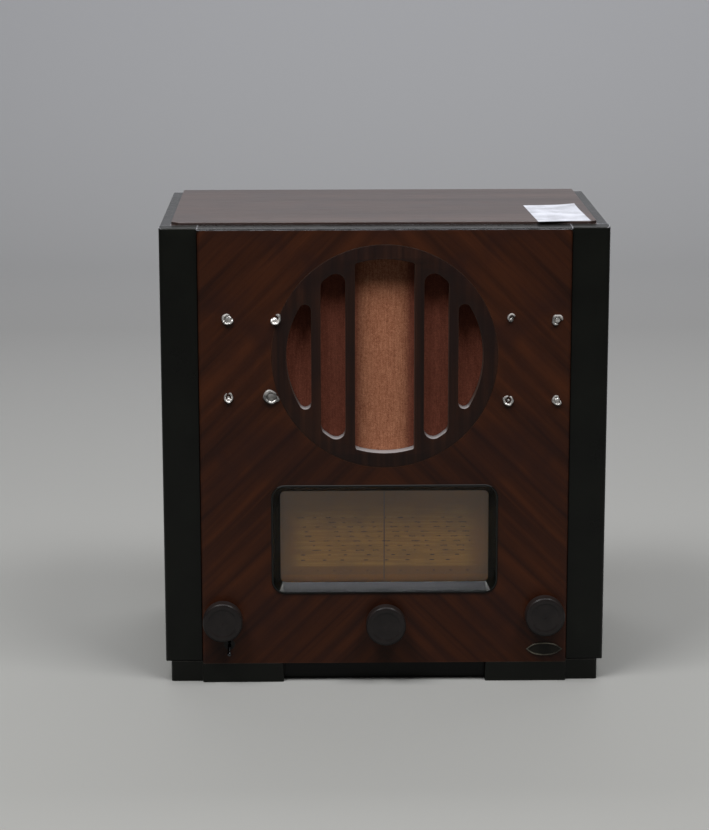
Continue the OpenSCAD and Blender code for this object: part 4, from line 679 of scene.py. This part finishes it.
dialPrint = {"seed": 11, "inkDepth": 0.00005, "half": 0.079, "rows": 8, "rowTop": 0.1502,
             "rowStep": 0.0044, "slant": 0.0021, "columns": 12, "columnStep": 0.0132,
             "columnShift": 0.0015, "leftOut": 0.12, "dashes": (2, 5),
             "dashWide": (0.0005, 0.0014), "dashHigh": 0.00075, "dashTimes": (0.7, 1.3),
             "dashLift": 0.0002, "dashGap": 0.0004, "lowRows": (0.1151, 0.1102),
             "lowStart": 0.01, "lowWide": (0.0024, 0.0042), "lowStep": (0.013, 0.026),
             "numbers": range(0, 101, 10), "numberAt": 0.0995, "numberHigh": 0.0021,
             "numberStep": 0.0152}
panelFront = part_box("front_panel")[0].y
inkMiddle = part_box("dial_scale")[0].y - dialPrint["inkDepth"] / 2
random.seed(dialPrint["seed"])
work = bmesh.new()


def addDash(work, x, z, wide, high):
    bmesh.ops.create_cube(work, size=1.0, matrix=Matrix.Translation((x, inkMiddle, z))
                          @ Matrix.Diagonal((wide, dialPrint["inkDepth"], high, 1)))


for row in range(dialPrint["rows"]):
    z = dialPrint["rowTop"] - row * dialPrint["rowStep"]
    for column in range(dialPrint["columns"]):
        x = column * dialPrint["columnStep"] - dialPrint["half"] + row * dialPrint["slant"]
        x += random.uniform(-dialPrint["columnShift"], dialPrint["columnShift"])
        if random.random() < dialPrint["leftOut"]:
            continue
        for _ in range(random.randint(*dialPrint["dashes"])):
            wide = random.uniform(*dialPrint["dashWide"])
            if x + wide < dialPrint["half"]:
                lift = random.uniform(-dialPrint["dashLift"], dialPrint["dashLift"])
                addDash(work, x + wide / 2, z + lift, wide,
                        dialPrint["dashHigh"] * random.uniform(*dialPrint["dashTimes"]))
            x += wide + dialPrint["dashGap"]
for z in dialPrint["lowRows"]:
    x = -dialPrint["half"] + random.uniform(0.0, dialPrint["lowStart"])
    while x < dialPrint["half"]:
        addDash(work, x, z, random.uniform(*dialPrint["lowWide"]), dialPrint["dashHigh"])
        x += random.uniform(*dialPrint["lowStep"])
for step, number in enumerate(dialPrint["numbers"]):
    letters = bpy.data.curves.new("numeral", "FONT")
    letters.body = str(number)
    letters.size = dialPrint["numberHigh"]
    letters.align_x = "CENTER"
    letters.extrude = dialPrint["inkDepth"] / 2
    x = (step - (len(dialPrint["numbers"]) - 1) / 2) * dialPrint["numberStep"]
    addCurve(work, letters, facingFront((x, inkMiddle, dialPrint["numberAt"])))
dialMarks = finishPiece(work, "dialMarks", printInk, smooth=False)
print("piece: dial print")


# eight plated cup washers with their screws, each torn and bent in its own way

fixingSet = {
    "rise": 0.0021, "steps": 36,
    # the ring's section: share of the radius inward, share of the rise forward
    "section": [(0.0, 0.0), (0.02, 0.55), (0.12, 0.95), (0.26, 1.0), (0.40, 0.7), (0.46, 0.0)],
    "wobble": 0.16, "wobbleTurns": 1.6, "seedStep": 2.3, "liftTimes": 2.2, "liftTurns": 1.9,
    "tipShare": 0.35, "tipSlope": 5, "seam": 0.01,
    # the screw's head: share of its radius, share of its rise
    "dome": [(0.0, 1.0), (0.35, 0.96), (0.65, 0.8), (0.88, 0.45), (1.0, 0.0), (0.0, 0.0)],
    "domeSteps": 24, "domePlus": 0.16, "risePlus": 0.35, "pitSize": 0.7, "pitDepth": 0.5,
    "pitSeed": (3.7, 0, 1.9),
    "shank": 0.0012, "shankSides": 16, "shankPast": 0.004, "nut": 0.0029, "nutSides": 6,
    "nutDeep": 0.002, "apart": 0.0001,
    # in mm across, up, half width, half height; middle and width of the gap in degrees;
    # the screw's share of the radius, and its shift as shares of the half sizes
    "at": [(-139.3, 337.3, 5.5, 5.3, 35, 55, 0.46, (0.0, 0.0)),
           (-97.2, 337.4, 4.9, 5.6, 130, 95, 0.40, (-0.1, -0.25)),
           (-139.7, 266.4, 4.3, 5.3, 100, 26, 0.30, (0.05, -0.4)),
           (-101.2, 266.7, 7.8, 6.4, 24, 24, 0.44, (0.0, 0.05)),
           (113, 337.2, 4.2, 4.4, -40, 130, 0.34, (-0.25, -0.35)),
           (154, 335, 5.6, 5.2, -42, 95, 0.38, (-0.15, 0.1)),
           (110.5, 262.7, 5.0, 5.2, 80, 20, 0.02, (0.0, 0.0)),
           (154.5, 262.5, 4.8, 4.8, 32, 80, 0.46, (-0.15, 0.0))]}


def spinProfile(work, profile, closed, axis, angle, steps):  # the new corners, about the origin
    older = set(work.verts)
    corners = [work.verts.new((across, forward, 0)) for across, forward in profile]
    ends = corners[1:] + corners[:1] if closed else corners[1:]
    edges = [work.edges.new(pair) for pair in zip(corners, ends)]
    bmesh.ops.spin(work, geom=corners + edges, cent=(0, 0, 0), axis=axis, angle=angle,
                   steps=steps, use_merge=not closed)
    if closed:
        bmesh.ops.holes_fill(work, edges=[e for e in work.edges if e.is_boundary], sides=0)
    return set(work.verts) - older


def addRim(work, spec, seed):  # a ring but for its gap, dented and thinner towards its tips
    x, z, halfWide, halfHigh, gapAt, gap = spec[:6]
    turn = math.radians(360 - gap)
    deepest = fixingSet["section"][-1][0]
    profile = [(1 - inward, -height) for inward, height in fixingSet["section"]]
    for corner in spinProfile(work, profile, True, (0, -1, 0), turn, fixingSet["steps"]):
        swept = math.atan2(corner.co.z, corner.co.x) % (2 * math.pi)
        share = 0.0 if swept > turn + fixingSet["seam"] else min(1.0, swept / turn)
        inward = 1 - math.hypot(corner.co.x, corner.co.z)
        angle = math.radians(gapAt + gap / 2 + (360 - gap) * share)
        spot = Vector((math.cos(angle) * fixingSet["wobbleTurns"], seed * fixingSet["seedStep"],
                       math.sin(angle) * fixingSet["wobbleTurns"]))
        dent = 1 + fixingSet["wobble"] * noise.noise(spot)
        lift = 1 + (fixingSet["liftTimes"] * fixingSet["wobble"]
                    * noise.noise(spot * fixingSet["liftTurns"]))
        thin = min(1.0, fixingSet["tipShare"] + fixingSet["tipSlope"] * min(share, 1 - share))
        reach = dent * (1 - deepest + (deepest - inward) * thin)
        corner.co = Vector(((x + halfWide * reach * math.cos(angle)) * mm,
                            panelFront + fixingSet["rise"] * corner.co.y * lift * thin,
                            (z + halfHigh * reach * math.sin(angle)) * mm))


def addDome(work, x, z, radius, rise, seed):  # a screw head, worn unevenly
    profile = [(across * radius, -height * rise) for across, height in fixingSet["dome"]]
    for corner in spinProfile(work, profile, False, (0, 1, 0), 2 * math.pi,
                              fixingSet["domeSteps"]):
        spot = corner.co / (radius * fixingSet["pitSize"]) + seed * Vector(fixingSet["pitSeed"])
        corner.co.y *= 1 + fixingSet["pitDepth"] * noise.noise(spot)
        corner.co += Vector((x, panelFront, z))


def addRod(work, x, z, near, far, radius, sides):
    bmesh.ops.create_cone(work, cap_ends=True, segments=sides, radius1=radius, radius2=radius,
                          depth=far - near, matrix=facingFront((x, (near + far) / 2, z)))


work = bmesh.new()
for seed, spec in enumerate(fixingSet["at"], 1):
    addRim(work, spec, seed)
    x, z, halfWide, halfHigh, gapAt, gap, share, shift = spec
    addDome(work, (x + shift[0] * halfWide) * mm, (z + shift[1] * halfHigh) * mm,
            halfWide * (fixingSet["domePlus"] + share) * mm,
            fixingSet["rise"] * (fixingSet["risePlus"] + share), seed)
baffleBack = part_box("speaker_baffle")[1].y
for x, z in (spec[:2] for spec in fixingSet["at"]):
    addRod(work, x * mm, z * mm, panelFront - fixingSet["apart"],
           baffleBack + fixingSet["shankPast"], fixingSet["shank"], fixingSet["shankSides"])
    addRod(work, x * mm, z * mm, baffleBack + fixingSet["apart"],
           baffleBack + fixingSet["nutDeep"], fixingSet["nut"], fixingSet["nutSides"])
panelRivets = finishPiece(work, "panelRivets", fixingPlate)
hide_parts("front_fixings")
print("piece: cup washers and screws")


# blank paper label on the top board, with one corner lifting

labelPatch = {"corners": [(0.13695, -0.09820), (0.18443, -0.09230), (0.18018, 0.01623),
                          (0.13215, 0.01180)], "squares": (16, 24), "thick": 0.00012,
              "apart": 0.00004, "curl": 0.006, "curlFrom": 1.55}
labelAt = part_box("top_panel")[1].z + labelPatch["apart"]
work = bmesh.new()
bmesh.ops.create_grid(work, x_segments=labelPatch["squares"][0],
                      y_segments=labelPatch["squares"][1], size=0.5)
near = [Vector(c) for c in labelPatch["corners"][:2]]
far = [Vector(c) for c in labelPatch["corners"][:1:-1]]
for corner in work.verts:
    u, v = corner.co.x + 0.5, corner.co.y + 0.5
    spot = near[0].lerp(near[1], u).lerp(far[0].lerp(far[1], u), v)
    curl = labelPatch["curl"] * max(0.0, u + v - labelPatch["curlFrom"]) ** 2
    corner.co = Vector((spot.x, spot.y, labelAt + curl))
bmesh.ops.recalc_face_normals(work, faces=work.faces)
bmesh.ops.solidify(work, geom=work.faces[:], thickness=-labelPatch["thick"])
paperLabel = finishPiece(work, "paperLabel", labelPaper)
print("piece: blank label")


# blank oval plate low on the right of the panel, with a raised border and pointed ends

badgePlate = {"place": (0.1458, 0.0303), "half": (0.0146, 0.0062), "corners": 96,
              "point": 0.0020, "pointFrom": 0.42, "pointCurve": 1.5,
              # each loop of the profile: how far inside the outline, height above the panel
              "loops": [(0.0, 0.0), (0.0, 0.0006), (0.0003, 0.0010), (0.0010, 0.0010),
                        (0.0013, 0.0006)]}
halfWide, halfHigh = badgePlate["half"]
work = bmesh.new()
bmesh.ops.create_circle(work, radius=1.0, segments=badgePlate["corners"],
                        matrix=facingFront((0, 0, 0)))
edges = work.edges[:]
for inset, height in badgePlate["loops"][1:]:  # loops on a unit circle first
    grown = bmesh.ops.extrude_edge_only(work, edges=edges)["geom"]
    edges = [g for g in grown if isinstance(g, bmesh.types.BMEdge)]
    for corner in (g for g in grown if isinstance(g, bmesh.types.BMVert)):
        around = Vector((corner.co.x, 0, corner.co.z)).normalized() * (1 - inset / halfHigh)
        corner.co = Vector((around.x, -height, around.z))
bmesh.ops.holes_fill(work, edges=[e for e in work.edges if e.is_boundary], sides=0)
for corner in work.verts:  # and then drawn out to the pointed oval
    size = math.hypot(corner.co.x, corner.co.z)
    across, up = corner.co.x / size, corner.co.z / size
    inset = (1 - size) * halfHigh
    drawn = max(0.0, 1 - abs(up) / badgePlate["pointFrom"]) ** badgePlate["pointCurve"]
    point = badgePlate["point"] * size * drawn
    corner.co = Vector((
        badgePlate["place"][0] + across * (halfWide - inset) + math.copysign(point, across),
        panelFront + corner.co.y, badgePlate["place"][1] + up * (halfHigh - inset)))
rimFront = panelFront - max(height for inset, height in badgePlate["loops"])
for face in work.faces:
    face.material_index = int(any(c.co.y < rimFront + tiny for c in face.verts))
ovalPlate = finishPiece(work, "ovalPlate", badgeFill)
ovalPlate.data.materials.append(badgeRim)
print("piece: oval plate")


# floor and backdrop in one curved sheet: the camera and mirror-like surfaces see it pale, and
# it throws back less light than that, as the photograph's deep shades under edges need

studio = {"floor": (142, 142, 139), "far": (123, 123, 123), "wall": (153, 154, 158),
          "thrown": (72, 72, 71), "paintedLightFrom": -1.2, "paintedLightTo": 5.0, "farAt": 0.45,
          "rough": 0.9, "width": 12.0, "front": -6.0, "back": 2.3, "bend": 1.3, "height": 3.2,
          "steps": 24}
work = bmesh.new()
profile = [Vector((0, studio["front"], 0)), Vector((0, studio["back"], 0))]
for step in range(1, studio["steps"] + 1):
    angle = math.pi / 2 * step / studio["steps"]
    profile.append(Vector((0, studio["back"] + studio["bend"] * math.sin(angle),
                           studio["bend"] * (1 - math.cos(angle)))))
profile.append(Vector((0, studio["back"] + studio["bend"], studio["height"])))
corners = [work.verts.new(p - Vector((studio["width"] / 2, 0, 0))) for p in profile]
edges = [work.edges.new(pair) for pair in zip(corners, corners[1:])]
grown = bmesh.ops.extrude_edge_only(work, edges=edges)["geom"]
bmesh.ops.translate(work, verts=[g for g in grown if isinstance(g, bmesh.types.BMVert)],
                    vec=(studio["width"], 0, 0))
for face in work.faces:
    face.smooth = True
sweepMesh = bpy.data.meshes.new("studioSweep")
bmesh.ops.recalc_face_normals(work, faces=work.faces)
work.to_mesh(sweepMesh)
work.free()
studioSweep = bpy.data.objects.new("studioSweep", sweepMesh)
bpy.context.scene.collection.objects.link(studioSweep)
sweepFinish, tree, shader = startFinish("sweepPaper", studio["floor"],
                                        {"Roughness": studio["rough"]})
parts = addNode(tree, "SeparateXYZ", {0: objectPoint(tree)})
run = calc(tree, "ADD", parts.outputs[1], parts.outputs[2])
# the colour the camera sees darkens further back over the floor and grows paler up the wall:
# painted light and shade on the sweep
seen = ramp(tree, between(tree, run, studio["paintedLightFrom"], studio["paintedLightTo"]), [
    (0.0, studio["floor"]), (studio["farAt"], studio["far"]), (1.0, studio["wall"])])
path = addNode(tree, "LightPath")
looked = calc(tree, "MAXIMUM", path.outputs["Is Camera Ray"],
              calc(tree, "MAXIMUM", path.outputs["Is Glossy Ray"],
                   path.outputs["Is Transmission Ray"]))
feed(tree, shader, blend(tree, looked, studio["thrown"], seen))
sweepMesh.materials.append(sweepFinish)


# lamps, air and camera

lampSet = {  # place, what it points at, size, watts, tint
    "lampLeft": ((-0.95, -0.9, 2.5), (0, 0, 0.2), (1.2, 0.8), 54, (1.0, 1.0, 1.0)),
    "lampRight": ((0.95, -0.9, 2.5), (0, 0, 0.2), (1.2, 0.8), 46, (1.0, 1.0, 1.0)),
    "lampTop": ((0.0, -0.85, 2.9), (0, 0, 0), (0.6, 0.8), 12, (0.92, 0.92, 1.0)),
    "lampBack": ((0.4, 1.6, 2.7), (0.4, 3.2, 0.4), (4.2, 1.0), 76, (1.0, 1.0, 1.0)),
    "lampRear": ((0.0, 1.7, 2.3), (0, 0, 0.2), (1.8, 0.9), 14, (1.0, 1.0, 1.0)),
    "lampFar": ((0.0, -3.4, 2.9), (0, -6.3, 0), (6.0, 1.5), 80, (1.0, 1.0, 1.0))}
for name, (place, target, size, power, tint) in lampSet.items():
    lamp = bpy.data.lights.new(name, "AREA")
    lamp.color = tint
    lamp.shape = "RECTANGLE"
    lamp.size, lamp.size_y = size
    lamp.energy = power
    holder = bpy.data.objects.new(name, lamp)
    holder.location = place
    holder.rotation_euler = (Vector(target) - Vector(place)).to_track_quat("-Z", "Y").to_euler()
    bpy.context.scene.collection.objects.link(holder)

airLook = {"light": (0.8, 0.8, 0.8, 1.0), "strength": 0.07, "distance": (112, 113, 115)}
world = bpy.data.worlds.new("studioAir")
world.use_nodes = True
air = world.node_tree
dim = air.nodes["Background"]
dim.inputs["Color"].default_value = airLook["light"]
dim.inputs["Strength"].default_value = airLook["strength"]
distance = addNode(air, "Background", {"Color": linear(*airLook["distance"]), "Strength": 1.0})
either = addNode(air, "MixShader", {0: addNode(air, "LightPath").outputs["Is Camera Ray"],
                                    1: dim.outputs[0], 2: distance.outputs[0]})
air.links.new(either.outputs[0], air.nodes["World Output"].inputs["Surface"])
bpy.context.scene.world = world

# found from the cabinet's corners in the photograph; angles in degrees, lens and film in mm
camera = {"place": (-0.058418, -2.337997, 0.732890), "yaw": 0.80792, "pitch": 12.2786,
          "roll": 0.08720, "film": 36, "lens": 2537.628 / 830 * 36}
yaw, pitch = math.radians(camera["yaw"]), math.radians(camera["pitch"])
ahead = Vector((math.sin(yaw) * math.cos(pitch), math.cos(yaw) * math.cos(pitch),
                -math.sin(pitch)))
lens = bpy.data.cameras.new("photoCamera")
lens.sensor_width = camera["film"]
lens.lens = camera["lens"]
holder = bpy.data.objects.new("photoCamera", lens)
holder.location = camera["place"]
holder.rotation_mode = "QUATERNION"
holder.rotation_quaternion = ahead.to_track_quat("-Z", "Y") @ Quaternion(
    (0, 0, 1), math.radians(-camera["roll"]))
bpy.context.scene.collection.objects.link(holder)
bpy.context.scene.camera = holder
bpy.context.scene.view_settings.view_transform = "Standard"
print("stage: floor, lamps and camera")
